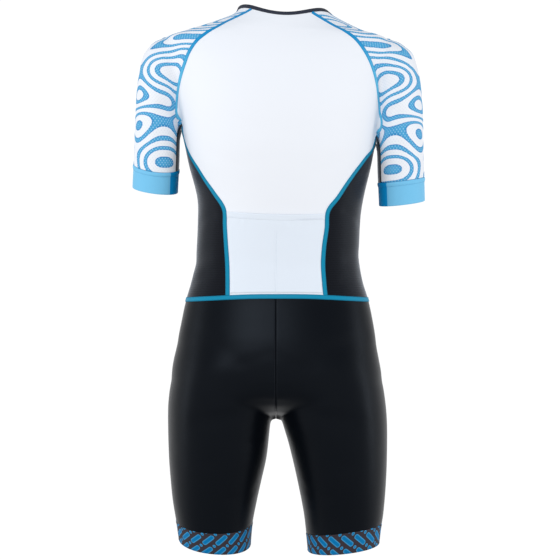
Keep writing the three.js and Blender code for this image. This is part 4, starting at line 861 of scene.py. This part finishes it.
for side, sign in SIGN.items():
    back, front = seams[side, "back"][:RAGLAN_STEPS + 1], seams[side, "front"][:RAGLAN_STEPS + 1]
    crest = CREST_LEFT if side == "left" else CREST_RIGHT
    crest = onto_form(smooth_path([neckline(0 if side == "left" else 180), *crest], RAGLAN_STEPS + 1), 8)
    over = rows_over(back, crest, front)
    from_angle, to_angle = RAGLAN_ANGLE[f"back_{side}"], RAGLAN_ANGLE[f"front_{side}"]
    over[0] = neckline(np.linspace(from_angle, to_angle, RAYS), -SEAM_GAP / 2)
    crown_z = armpit_crown(PIT[side][0], 0.0)[2]
    shares = np.arange(1, ARM_STEPS + 1) / ARM_STEPS
    below_crown = lambda p: crown_z - 1
    outer_turn = np.linspace(UNDERARM_BACK, -UNDERARM_BACK, RAYS)
    down = arm_rows(side, shares, outer_turn, sleeve_foot(side), below_crown)
    grid = panel_grid(np.concatenate([over, down]), 104, (RAGLAN_STEPS,))
    piece = lay(f"sleeve_{side}_cloth", grid, mesh_knit, -edge_drop(*grid.shape[:2]), -CLOTH)
    on_suit(piece, f"sleeve_{side}")

    # Underarm strip: plain black knit between the sleeve's two edges, from the armpit to the cuff
    inner_turn = np.linspace(UNDERARM_BACK, UNDERARM_FRONT, RAYS)
    rows = arm_rows(side, shares, inner_turn, sleeve_foot(side), below_crown)
    first = armpit_crown(PIT[side][0], np.linspace(CROWN_REACH, -CROWN_REACH, RAYS))
    first[:, 0] += sign * CROWN_GAP
    grid = down_rows(along_rows(np.concatenate([first[None], rows]), 18, SEAM_GAP / 2), STEP)
    grid[5:] = onto_form(grid[5:], 3)
    grid = with_edge_rows(grid)
    piece = lay(f"underarm_{side}_cloth", grid, ribbed_knit, -edge_drop(*grid.shape[:2]), -CLOTH)
    on_suit(piece, f"underarm_{side}")


# Sleeve cuffs: thick light-blue elastic knit, hemmed double, with a raised ridge where each is sewn to the
# sleeve. The part under the arm is painted a darker blue as shade on the side turned away from the light.
CUFF_CLOTH, CUFF_ROUND, CUFF_LENGTH = 2, 270, 41
CUFF_BLUE, CUFF_PAINTED_SHADE_BLUE = srgb(122, 198, 237), srgb(0, 140, 205)
cuff_knit, cuff = cloth_material("light_blue_cuff", srgb(126, 200, 238), 0.62, wale=1.1, course=1.4,
                                 bump=0.06)
cuff_stitches = []
from_outside = cuff.math("ABSOLUTE", cuff.math("SUBTRACT", cuff.parts(cuff.cloth)[0], CUFF_ROUND / 2))
# Painted shade: the cuff's underarm side, turned away from the light, gets the darker blue.
painted_shade_side = cuff.smooth(from_outside, 96.5, 98)
cuff.link(cuff.mix(painted_shade_side, CUFF_BLUE, CUFF_PAINTED_SHADE_BLUE), cuff.colour)
for side in SIGN:
    shares = np.concatenate([[0, 0.02, 0.05, 0.08, 0.11, 0.14, 0.16, 0.18, 0.21], np.linspace(0.26, 0.93, 12),
                             [0.965, 0.985, 1]])
    foot, top = CUFF_END[side], CUFF_TOP[side]
    ring = arm_rows(side, shares, np.linspace(180, -180, 129), lambda p: plane_height(foot, p),
                    lambda p: plane_height(top, p) - SEAM_GAP / 2)
    ring[:, -1] = ring[:, 0]
    proud = np.interp(shares, [0, 0.02, 0.05, 0.08, 0.14, 0.18, 0.21, 0.965, 0.985, 1],
                      [0.1, 0.7, 1.0, 1.1, 0.95, 0.25, 0, 0, -0.15, -0.6])
    round_cuff, down_cuff = np.linspace(0, CUFF_ROUND, 129), shares[:, None] * CUFF_LENGTH
    uv = np.stack(np.broadcast_arrays(round_cuff, down_cuff), axis=-1)
    cuff_stitches.append((ring[7], 0.15))
    piece = lay(f"cuff_{side}_cloth", ring, cuff_knit, proud[:, None], -CUFF_CLOTH, 0, uv)
    on_suit(piece, f"cuff_{side}")


# Shorts: one piece of black compression knit for each leg, seamed down the middle behind and in
# front and then down the inside of the leg.
below_middle = rays_out(beside(0, np.arange(-14, 16, 2.0), -600), (0, 0, -1.0))
CROTCH = below_middle[below_middle[:, 2].argmin()]
LEG_AXIS = {"left": 92, "right": -96}
BAND_TOP = {"left": (-847.7, 105, 0.041, -0.153), "right": (-861, -115, -0.13, 0.04)}
HEM = {"left": (-884.5, 105, 0.09, -0.133), "right": (-893.2, -115, -0.113, 0)}
LEG_RAYS = 97


def leg_rows(side, z, waist_share, planes, plane_share):
    """Rows round a leg at heights z. Above the crotch they are open toward the other leg and end
    at the middle; below it they are closed. The top ones follow the waist line's curve, and the
    bottom ones the tilted line of the band."""
    sign = SIGN[side]
    middle = sign * SEAM_GAP / 2
    is_open = z > CROTCH[2]
    start = beside(middle, CROTCH[1], np.where(is_open, z, CROTCH[2] + 1))
    ends = [rays_out(start, (0, toward, 0)) for toward in (1.0, -1.0)]
    limits = [np.where(is_open, np.arctan2(end[:, 1], sign * (middle - LEG_AXIS[side])), turn)
              for end, turn in zip(ends, (math.pi, -math.pi))]
    angle = limits[0][:, None] + (limits[1] - limits[0])[:, None] * np.linspace(0, 1, LEG_RAYS)
    direction = outward(angle) * (sign, 1, 1)
    p = rays_out(beside(LEG_AXIS[side], 0, z[:, None]), direction)
    for _ in range(2):
        round_body = np.arctan2(p[..., 1], p[..., 0] - BODY_AXIS)
        shift = (waist_height(round_body) - WAIST_Z) * waist_share[:, None]
        tilt = planes[2] * (p[..., 0] - planes[1]) + planes[3] * p[..., 1]
        p = rays_out(beside(LEG_AXIS[side], 0, z[:, None] + shift + tilt * plane_share[:, None]), direction)
    for column, end in zip((0, -1), ends):
        p[is_open, column] = end[is_open]
    p[~is_open, -1] = p[~is_open, 0]
    return p


compression_knit, _ = cloth_material("black_compression_knit", srgb(4, 7, 13), 0.36, wale=0.6,
                                               course=0.5, bump=0.02, sheen=0.03, gloss=0.12)
COLUMN_SHARES = np.concatenate([[0, 0.0014], np.linspace(0.005, 0.995, 176), [0.9986, 1]])
for side, sign in SIGN.items():
    foot_z = BAND_TOP[side][0] + SEAM_GAP / 2
    top_z = WAIST_Z - SEAM_GAP / 2
    z = np.concatenate([[top_z, top_z - 0.5], np.arange(top_z - 2.5, CROTCH[2] + 3, -3.1),
                        [CROTCH[2] + 2.2, CROTCH[2] + 0.9, CROTCH[2] + 0.2, CROTCH[2] - 0.01],
                        np.arange(CROTCH[2] - 2.5, foot_z + 3, -3.1), [foot_z + 1.6, foot_z + 0.5, foot_z]])
    joined = int(np.flatnonzero(z < CROTCH[2])[0])
    waist_share = np.interp(-z, [465, 490, 518, 546, 576], [1, 0.7, 0.4, 0.15, 0])
    plane_share = np.interp(-z, [750, 780, 810, 832, -foot_z], [0, 0.1, 0.35, 0.65, 1])
    band_plane = np.array(BAND_TOP[side])[:, None, None]
    rows = spread(leg_rows(side, z, waist_share, band_plane, plane_share), COLUMN_SHARES)
    grid = onto_form(rows, 2)
    open_ends = grid[:joined][:, [0, -1]]
    open_ends[..., 0] = sign * SEAM_GAP / 2
    grid[:joined, 0], grid[:joined, -1] = open_ends[:, 0], open_ends[:, 1]
    grid[joined, 0] = grid[joined, -1] = (sign * SEAM_GAP / 2, CROTCH[1], CROTCH[2])
    grid[joined:, -1] = grid[joined:, 0]
    sunk = edge_drop(*grid.shape[:2])
    piece = lay(f"short_leg_{side}_cloth", grid, compression_knit, -sunk, -CLOTH, joined)
    on_suit(piece, f"short_leg_{side}")


# Leg bands: elastic knit in a dark brown grey, sewn on under each leg, a little proud of it.
# Printed with blue pills and dots in slanted rows, each row shifted by half against the next.
BAND_GROUND, PILL_BLUE, PILL_RIM = srgb(60, 52, 58), srgb(0, 118, 178), srgb(62, 152, 202)
band_knit, band = cloth_material("leg_band_knit", BAND_GROUND, 0.6, wale=1.0, course=0.8, bump=0.05,
                                 gloss=0.12)
band_stitches = []
PILL_TURN, PILL_ROWS, PILL_PITCH, PILL_LENGTH = math.radians(-36), 12.5, 37.0, 19.0
turned = band.node("ShaderNodeVectorRotate", {"Vector": band.cloth, "Angle": PILL_TURN},
                   rotation_type="Z_AXIS")
along_pills, across_pills, _ = band.parts(turned.outputs[0])
row_number = band.math("FLOOR", band.math("DIVIDE", across_pills, PILL_ROWS))
shifted_along = band.math("ADD", along_pills, band.math("MULTIPLY", row_number, PILL_PITCH / 2))
in_pitch = band.math("SUBTRACT", band.math("FLOORED_MODULO", shifted_along, PILL_PITCH), PILL_PITCH / 2)
in_row = band.math("SUBTRACT", band.math("FLOORED_MODULO", across_pills, PILL_ROWS), PILL_ROWS / 2)
past_end = band.math("MAXIMUM", band.math("SUBTRACT", band.math("ABSOLUTE", in_pitch), PILL_LENGTH / 2), 0)
to_pill = band.math("SQRT", band.math("ADD", band.math("POWER", past_end, 2), band.math("POWER", in_row, 2)))
from_dot = band.math("SUBTRACT", PILL_PITCH / 2, band.math("ABSOLUTE", in_pitch))
to_dot = band.math("SQRT", band.math("ADD", band.math("POWER", from_dot, 2), band.math("POWER", in_row, 2)))
nearest = band.math("MINIMUM", to_pill, band.math("ADD", to_dot, 1.1))
pill_colour = band.mix(band.smooth(nearest, 2.2, 2.6), PILL_BLUE, PILL_RIM)
band.link(band.mix(band.smooth(nearest, 3.5, 3.9), pill_colour, BAND_GROUND), band.colour)
for side in SIGN:
    shares = np.concatenate([[0, 0.012, 0.04, 0.08], np.linspace(0.14, 0.9, 11), [0.94, 0.965, 0.985, 1]])
    top, foot = np.array(BAND_TOP[side]), np.array(HEM[side])
    top[0] -= SEAM_GAP / 2
    planes = (top + (foot - top) * shares[:, None]).T[..., None]
    level = np.full(len(shares), 1.0)
    rows = leg_rows(side, planes[0, :, 0], 0 * level, planes, level)
    grid = onto_form(spread(rows, np.linspace(0, 1, 181)), 2)
    grid[:, -1] = grid[:, 0]
    proud = np.interp(shares, [0, 0.012, 0.04, 0.08, 0.94, 0.965, 0.985, 1],
                      [-0.25, 0.15, 0.4, 0.4, 0.4, 0.35, 0.1, -0.5])
    band_stitches += [(grid[3], 0.4), (grid[-4], 0.4)]
    piece = lay(f"leg_band_{side}_cloth", grid, band_knit, proud[:, None], -1.6, 0)
    on_suit(piece, f"leg_band_{side}")


# Collar: a narrow bias binding of dark stretch cloth, folded over the neck edge from one end of
# the zip round to the other.
collar_cloth, _ = cloth_material("collar_binding", srgb(45, 48, 60), 0.6, wale=0.7, course=0.6, bump=0.04)
ups = np.array([0.15, 0.5, 1.2, 2.2, 3.2, 4.2, 5.0, 5.6, 6.0])
round_neck = np.linspace(ZIP_DEGREES + ZIP_TURN, ZIP_DEGREES + 360 - ZIP_TURN, 220)
grid = np.stack([neckline(round_neck, up) for up in ups])
proud = np.interp(ups, [0.15, 0.5, 1.2, 3.2, 5.0, 5.6, 6.0], [0.05, 0.5, 0.75, 0.85, 0.65, 0.3, -0.5])
piece = lay("collar_cloth", grid, collar_cloth, proud[:, None], -2.0)
on_suit(piece, "collar")


# Seam tapes: elastic tape sewn flat over each raglan, side and waist seam with two rows of stitches.
BODY_TAPE, RAGLAN_TAPE = 7.6, 6.6
TAPE_COLUMNS = np.array([-1, -0.94, -0.78, -0.55, -0.3, 0, 0.3, 0.55, 0.78, 0.94, 1])
TAPE_PROUD = np.array([0.3, 0.6, 0.74, 0.78, 0.76, 0.72, 0.76, 0.78, 0.74, 0.6, 0.3])


def tape_grid(curve, width):
    """Points of a strip that lies on the form along a curve."""
    along = np.gradient(curve, axis=0)
    across = np.cross(normal_at(curve), along)
    across /= np.linalg.norm(across, axis=-1, keepdims=True)
    return onto_form(curve[:, None] + across[:, None] * (TAPE_COLUMNS * width / 2)[:, None], 2)


def seam_curve(points, first, last):
    """A seam's line between two shares of its length."""
    fine = down_rows(points[:, None], STEP)[:, 0]
    count = int(np.linalg.norm(np.diff(fine, axis=0), axis=-1).sum() * (last - first) / STEP)
    return onto_form(spread(fine[None], np.linspace(first, last, count))[0], 2)


def stitches(name, curves, material, body="suit", pitch=2.7, length=1.9, radius=0.19):
    """Stitches along curves of (points, height over the form), as one piece: each is a short bar,
    square in section, whose middle stands over the cloth and whose ends dip into it."""
    centres, along, out = [], [], []
    for curve, height in curves:
        total = np.linalg.norm(np.diff(curve, axis=0), axis=-1).sum()
        stops = spread(curve[None], (np.arange(int(total / pitch)) + 0.5) * pitch / total)[0]
        heading = np.gradient(stops, axis=0)
        heading /= np.linalg.norm(heading, axis=-1, keepdims=True)
        upward = normal_at(stops)
        centres.append(stops + upward * (height - fold_depth(stops))[:, None])
        along.append(heading)
        out.append(upward)
    centres, along, out = (np.concatenate(part) for part in (centres, along, out))
    aside = np.cross(along, out)
    station = np.array([-0.5, -0.3, 0.3, 0.5]) * length
    rise = np.array([-0.14, 0.1, 0.1, -0.14])
    ring = np.array([(1, 0), (0, 1), (-1, 0), (0, -1)]) * radius
    points = (centres[:, None, None] + along[:, None, None] * station[:, None, None]
              + out[:, None, None] * (rise[:, None, None] + ring[:, 1][:, None])
              + aside[:, None, None] * ring[:, 0][:, None])
    index = np.arange(16).reshape(4, 4)
    wrap = np.concatenate([index, index[:, :1]], axis=1)
    faces = np.concatenate([quads(wrap), index[:1, ::-1], index[-1:]])
    faces = (faces + 16 * np.arange(len(centres))[:, None, None]).reshape(-1, 4)
    mesh = bpy.data.meshes.new(name)
    mesh.from_pydata((points.reshape(-1, 3) * MM).tolist(), [], faces.tolist())
    mesh.polygons.foreach_set("use_smooth", np.ones(len(faces), dtype=bool))
    piece = placed(name, mesh, material)
    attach(piece, body)
    return piece


# The raglan tapes are bright blue, painted paler toward the armpits as a highlight. The others are teal.
PAINTED_HIGHLIGHT_BLUE, BRIGHT_BLUE, TEAL = srgb(98, 192, 230), srgb(22, 146, 205), srgb(4, 138, 174)
blue_tape, blue = cloth_material("blue_seam_tape", srgb(20, 148, 208), 0.5, wale=1.3, course=0.6,
                                 bump=0.04, gloss=0.15)
# Painted highlight: the raglan tapes turn to the paler blue below a height, toward the armpits.
tape_height = blue.parts(blue.node("ShaderNodeTexCoord").outputs["Object"])[2]
blue.link(blue.mix(blue.smooth(tape_height, -0.12, -0.02), PAINTED_HIGHLIGHT_BLUE, BRIGHT_BLUE), blue.colour)
teal_tape, _ = cloth_material("teal_seam_tape", TEAL, 0.5, wale=1.3, course=0.6, bump=0.04, gloss=0.2)
blue_seams, teal_seams = [], []
for side in SIGN:
    for face in ("back", "front"):
        raglan_part, side_part = seams[side, face][:RAGLAN_STEPS + 1], seams[side, face][RAGLAN_STEPS:]
        for part, width, material, slot, stitched, points, ends in (
                ("raglan", RAGLAN_TAPE, blue_tape, "blue_seam_tape", blue_seams, raglan_part, (0.003, 0.985)),
                ("side", BODY_TAPE, teal_tape, "teal_seam_tape", teal_seams, side_part, (0.02, 0.995))):
            grid = tape_grid(seam_curve(points, *ends), width)
            node = f"{part}_tape_{face}_{side}"
            piece = lay(f"{node}_cloth", grid, material, TAPE_PROUD, 0.06)
            on_suit(piece, node)
            stitched += [(grid[:, 2], 0.76), (grid[:, -3], 0.76)]

turn = np.radians(np.linspace(-90, 270, 330))
waist_rows = []
for share in TAPE_COLUMNS:
    origin = beside(BODY_AXIS, 0, waist_height(turn) - share * BODY_TAPE / 2)
    waist_rows.append(rays_out(origin, outward(turn)))
grid = np.stack(waist_rows, axis=0)
grid[:, -1] = grid[:, 0]
piece = lay("waist_tape_cloth", grid, teal_tape, TAPE_PROUD[:, None] + 0.45, 0.3, 0)
on_suit(piece, "waist_tape")
teal_seams += [(grid[2], 1.21), (grid[-3], 1.21)]
blue_thread, _ = cloth_material("blue_thread", srgb(24, 124, 184), 0.55, bump=0.0)
teal_thread, _ = cloth_material("teal_thread", srgb(0, 98, 132), 0.55, bump=0.0)
stitches("raglan_stitches", blue_seams, blue_thread, radius=0.24)
stitches("side_and_waist_stitches", teal_seams, teal_thread, radius=0.26)


# Rear pocket: a second layer of the white knit over the small of the back, hemmed along its top
# opening and held by the side tapes and the waist tape. A seam down the middle parts it in two.
POCKET_TOP, POCKET_HEM = -326, 9.5
middle_z = back_grid[:, back_grid.shape[1] // 2, 2]


def row_at(z):
    """The back panel's row, and share of the way to the next, whose middle is at a height."""
    return np.interp(-np.asarray(z, float), -middle_z, np.arange(len(middle_z)))


def back_rows_at(rows, margin):
    """Rows of the back panel that end at a margin from its side edges."""
    low = np.clip(rows.astype(int), 0, len(back_grid) - 2)
    share = (rows - low)[:, None, None]
    across = back_grid[low] * (1 - share) + back_grid[low + 1] * share
    length = np.linalg.norm(np.diff(across, axis=1), axis=-1).sum(axis=1)
    columns = np.linspace(0, 1, 68)
    result = np.empty((len(rows), 68, 3))
    for k, row in enumerate(across):
        places = (margin + columns * (length[k] - 2 * margin)) / length[k]
        result[k] = spread(row[None], places)[0]
    return result


hem_rows = [0, 0.35, 0.9, 1.8, 3.2, 5, 7, 8.4, 9.1, 9.5, 9.8, 10.3, 11]
below_top = np.concatenate([hem_rows, np.arange(13, 133, 2.3)])
below_top = below_top[POCKET_TOP - below_top > WAIST_Z + BODY_TAPE / 2 + 0.9]
down = below_top[:, None]
under_hem = down > POCKET_HEM + 0.1
pocket_rows = row_at(POCKET_TOP - below_top)
pocket_grid = onto_form(back_rows_at(pocket_rows, BODY_TAPE / 2 + 0.2), 2)
half_widths = np.linspace(-1, 1, pocket_grid.shape[1])     # -1 to 1 across the pocket
slack = 3.5 * (1 - half_widths ** 2) * np.exp(-(down / 40) ** 2)
pocket_grid = onto_form(pocket_grid - slack[..., None] * (0, 0, 1), 2)
across_x = pocket_grid[..., 0]
hem = np.interp(below_top, [0, 0.35, 0.9, 8.4, 9.5, 9.8, 11], [-0.5, 0.15, 0.5, 0.5, 0.35, -0.12, 0])[:, None]
mouth = 0.9 * np.exp(-(down / 7) ** 2) * (1 - half_widths ** 4)
middle_seam = 0.45 * np.exp(-((across_x - 0.6) / 1.1) ** 2) * under_hem
sag = 0.5 * np.exp(-((down - 16) / 9) ** 2) * np.cos(across_x / 17) * np.cos(across_x / 61 + 0.5)
gathers = np.cos(across_x / 2.7 + 0.9 * np.sin(across_x / 9)) * np.exp(-((down - 14.5) / 6) ** 2)
gathers *= 0.28 * (0.35 + np.exp(-((across_x + 26) / 22) ** 2) + np.exp(-((across_x - 58) / 16) ** 2))
over = 1.25 + hem + mouth - middle_seam + sag + gathers * under_hem
over[:, [0, -1]] -= 0.5
pocket_knit, _ = cloth_material("pocket_knit", srgb(232, 239, 248), 0.85, bump=0.03, gloss=0.15)
pocket = lay("rear_pocket_cloth", pocket_grid, pocket_knit, over, 0.1 + 0.8 * mouth)
on_suit(pocket, "rear_pocket")


# Sewing in thread: double rows along the pocket's hem and down its middle, beside the centre seam
# of the shorts, under the cuffs' ridge, and at both edges of the leg bands.
white_thread, _ = cloth_material("white_thread", srgb(206, 212, 226), 0.7, bump=0.0)
dark_thread, _ = cloth_material("dark_thread", srgb(38, 41, 49), 0.6, bump=0.0)
hem_row = int(np.abs(below_top - 8.4).argmin())
white_rows = [(pocket_grid[hem_row, 1:-1], 1.8), (pocket_grid[hem_row - 1, 1:-1], 1.85)]
white_rows += [(pocket_grid[12:, 34] + (shift, 0, 0), 1.05) for shift in (-1.2, 2.4)]
stitches("pocket_stitches", white_rows, white_thread, pitch=2.4, length=1.7, radius=0.14)
seat_z = np.arange(WAIST_Z - BODY_TAPE, CROTCH[2] + 16, -3.0)
seat_rows = [(rays_out(beside(x, 0, seat_z), (0, toward, 0)), 0.15)
             for x in (-2.0, 2.0) for toward in (1.0, -1.0)]
for name, curves, thread, slot, radius in (
        ("seat_stitches", seat_rows, dark_thread, "black_compression_knit", 0.17),
        ("cuff_stitches", cuff_stitches, blue_thread, "light_blue_cuff", 0.2),
        ("band_stitches", band_stitches, dark_thread, "leg_band_knit", 0.18)):
    stitches(name, curves, thread, pitch=2.6, length=2.0, radius=radius)


# Zip: a coil zip down the front from the collar to the waist, on a woven tape behind the edges of
# the front panels. Its teeth are small bars that interlock.
COLLAR_HEIGHT = 6
zip_material, _ = cloth_material("zip_chain", srgb(26, 28, 32), 0.42, wale=0.6, course=0.6, bump=0.03)
zip_top = neckline_height(-math.pi / 2) + COLLAR_HEIGHT
zip_foot = WAIST_Z + BODY_TAPE / 2 + 1
heights = np.linspace(zip_top, zip_foot, 190)
strip = np.array([-3.7, -3.3, -2.6, -2.4, 0, 2.4, 2.6, 3.3, 3.7])
strip_rise = [-0.4, -0.2, -0.15, -0.25, -0.25, -0.25, -0.15, -0.2, -0.4]
zip_grid = in_front(ZIP_X + strip, heights[:, None])
piece = lay("zip_tape_cloth", zip_grid, zip_material, strip_rise, -1.3)
on_suit(piece, "zip_chain")
teeth_line = in_front(ZIP_X, np.linspace(zip_top - 1, zip_foot + 1, 400))
teeth = []
for sign, phase in ((-1, 0.0), (1, 0.55)):
    shifted = teeth_line[4:-4] + (sign * 1.0, 0, phase)
    teeth.append(shifted)


def zip_teeth(lines, pitch=1.1, width=2.3, thick=0.42):
    """Teeth along two lines: each is a short bar across the zip with a rounded, raised back."""
    centres, signs = [], []
    for line, sign in zip(lines, (-1, 1)):
        total = np.linalg.norm(np.diff(line, axis=0), axis=-1).sum()
        stops = spread(line[None], (np.arange(int(total / pitch)) + 0.5) * pitch / total)[0]
        centres.append(stops)
        signs.append(np.full(len(stops), sign))
    centres, signs = np.concatenate(centres), np.concatenate(signs)
    out = normal_at(centres)
    heading = np.cross(out, (1.0, 0, 0))
    heading /= np.linalg.norm(heading, axis=-1, keepdims=True)
    station = np.array([-0.5, -0.42, -0.1, 0.3, 0.46, 0.5]) * width
    rise = np.array([0.0, 0.45, 0.62, 0.62, 0.4, 0.15])
    size = np.array([0.55, 0.85, 1.0, 1.0, 0.95, 0.6]) * thick
    turn = np.radians(np.arange(6) * 60)
    ring = np.stack([np.cos(turn), np.sin(turn)], axis=-1)
    across = np.stack([-signs, np.zeros(len(signs)), np.zeros(len(signs))], axis=-1)
    points = (centres[:, None, None] + across[:, None, None] * station[:, None, None]
              + out[:, None, None] * (rise[:, None, None] + ring[:, 1][:, None] * size[:, None, None])
              + heading[:, None, None] * ring[:, 0][:, None] * size[:, None, None])
    index = np.arange(36).reshape(6, 6)
    wrap = np.concatenate([index, index[:, :1]], axis=1)
    sides = (quads(wrap) + 36 * np.arange(len(centres))[:, None, None]).reshape(-1, 4).tolist()
    caps = [(end + 36 * np.arange(len(centres))[:, None]).tolist() for end in (index[0][::-1], index[-1])]
    mesh = bpy.data.meshes.new("zip_teeth")
    mesh.from_pydata((points.reshape(-1, 3) * MM).tolist(), [], sides + caps[0] + caps[1])
    mesh.polygons.foreach_set("use_smooth", np.ones(len(mesh.polygons), dtype=bool))
    return mesh


coil = placed("zip_teeth", zip_teeth(teeth), zip_material)
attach(coil, "suit")


# Zip slider and pull tab: dark enamelled metal. The slider stays at the top of the zip; the tab
# hangs from its bail and swings on it.
metal = bpy.data.materials.new("zip_metal")
metal.use_nodes = True
metal_sketch = Sketch(metal.node_tree)
metal_shader = metal.node_tree.nodes["Principled BSDF"]
metal_shader.inputs["Base Color"].default_value = srgb(72, 74, 78)
metal_shader.inputs["Metallic"].default_value = 0.85
metal_place = metal_sketch.node("ShaderNodeTexCoord").outputs["Object"]
scratches = metal_sketch.noise(metal_place, 1400.0, 3.0)
worn = metal_sketch.node("ShaderNodeMapRange", {0: scratches, 3: 0.26, 4: 0.46}).outputs[0]
metal.node_tree.links.new(worn, metal_shader.inputs["Roughness"])

slider_at = rays_out((ZIP_X, 0, zip_top - 12), (0, -1.0, 0))
OUT = normal_at(slider_at) * (0, 1, 1)
OUT /= np.linalg.norm(OUT)
RIGHTWARD = np.array((1.0, 0, 0))
UPWARD = np.cross(RIGHTWARD, -OUT)
SLIDER_BASE, SLIDER_HEIGHT, BAIL_GAP = 1.2, 3.2, 2.4
PIVOT = SLIDER_BASE + SLIDER_HEIGHT + BAIL_GAP / 2


def rounded(corners, radius, steps=5):
    """A closed outline with its corners cut to arcs: each starts and ends a radius from it."""
    corners = np.array(corners, float)
    result = []
    for before, corner, after in zip(np.roll(corners, 1, axis=0), corners, np.roll(corners, -1, axis=0)):
        a = corner + (before - corner) / np.linalg.norm(before - corner) * radius
        b = corner + (after - corner) / np.linalg.norm(after - corner) * radius
        t = np.linspace(0, 1, steps)[:, None]
        result.append(a * (1 - t) ** 2 + corner * 2 * t * (1 - t) + b * t ** 2)
    return np.concatenate(result)


def plate(outlines, low, high, bevel, axes):
    """A flat plate with bevelled edges: outlines in the plane of two axes, from one height to
    another along the third. Every axis is a direction from the slider's place on the zip."""
    curve = bpy.data.curves.new("plate", "CURVE")
    curve.dimensions = "2D"
    curve.fill_mode = "BOTH"
    curve.extrude = ((high - low) / 2 - bevel) * MM
    curve.bevel_depth = bevel * MM
    curve.bevel_resolution = 2
    curve.offset = -bevel * MM
    for outline in outlines:
        line = curve.splines.new("POLY")
        line.points.add(len(outline) - 1)
        line.points.foreach_set("co", np.pad(outline * MM, ((0, 0), (0, 2))).reshape(-1))
        line.use_cyclic_u = True
    holder = bpy.data.objects.new("plate", curve)
    mesh = bpy.data.meshes.new_from_object(holder)
    bpy.data.objects.remove(holder)
    co = np.empty(len(mesh.vertices) * 3, np.float32)
    mesh.vertices.foreach_get("co", co)
    co = co.reshape(-1, 3) / MM + (0, 0, (low + high) / 2)
    mesh.vertices.foreach_set("co", ((slider_at + co @ np.array(axes)) * MM).reshape(-1))
    mesh.update()
    return mesh


def joined(name, meshes, material):
    """One mesh object from several meshes."""
    points, faces = [], []
    for mesh in meshes:
        first = len(points)
        points += [v.co[:] for v in mesh.vertices]
        faces += [[first + i for i in polygon.vertices] for polygon in mesh.polygons]
    whole = bpy.data.meshes.new(name)
    whole.from_pydata(points, [], faces)
    return placed(name, whole, material)


flat_axes = (RIGHTWARD, UPWARD, OUT)
side_axes = (UPWARD, OUT, RIGHTWARD)
top = SLIDER_BASE + SLIDER_HEIGHT
flange = rounded(((-4.5, 5.5), (-2.9, -5.5), (2.9, -5.5), (4.5, 5.5)), 1.2)
crown = rounded(((-3.7, 4.8), (-2.4, -4.9), (2.4, -4.9), (3.7, 4.8)), 1.4)
arch = rounded(((-2, top - 0.5), (-2, PIVOT + 2), (2, PIVOT + 2), (2, top - 0.5)), 1.0)
arch_hole = rounded(((-1.2, top), (-1.2, PIVOT + 1.2), (1.2, PIVOT + 1.2), (1.2, top)), 0.7)
slider = joined("zip_slider_body", [
    plate([flange], SLIDER_BASE, SLIDER_BASE + 1.5, 0.35, flat_axes),
    plate([crown], SLIDER_BASE + 1.2, top, 0.55, flat_axes),
    plate([arch, arch_hole], -1.5, 1.5, 0.3, side_axes)], metal)
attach(slider, "suit")
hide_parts("zip_slider")

tip = np.radians(np.linspace(180, 360, 17))
tab_top = [(2.6, 0.6), (-2.6, 0.6), (-3.05, 0.35), (-3.2, -0.1)]
tab_tip = np.stack([3.2 * np.cos(tip), -21.2 + 3.2 * np.sin(tip)], axis=-1)
tab = np.concatenate([tab_top, tab_tip, [(3.2, -0.1), (3.05, 0.35)]])
eye = rounded(((-2, -0.6), (2, -0.6), (2, -3.8), (-2, -3.8)), 0.6)
window = rounded(((-1.7, -6.4), (1.7, -6.4), (1.7, -20.4), (-1.7, -20.4)), 1.5)
grips = [rounded(((-1.9, z), (1.9, z), (1.9, z - 0.8), (-1.9, z - 0.8)), 0.35)
         for z in (-7.6, -10.2, -12.8, -15.4, -18.0)]
tab_parts = [plate([tab, eye, window], PIVOT - 0.6, PIVOT + 0.6, 0.28, flat_axes),
             plate([window * 1.02 + (0, 0.27)], PIVOT - 0.3, PIVOT + 0.3, 0.05, flat_axes)]
tab_parts += [plate([grip], PIVOT - 0.52, PIVOT + 0.52, 0.15, flat_axes) for grip in grips]
pull_tab = joined("zip_pull_tab", tab_parts, metal)
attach(pull_tab, "pull_tab")
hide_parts("zip_pull")
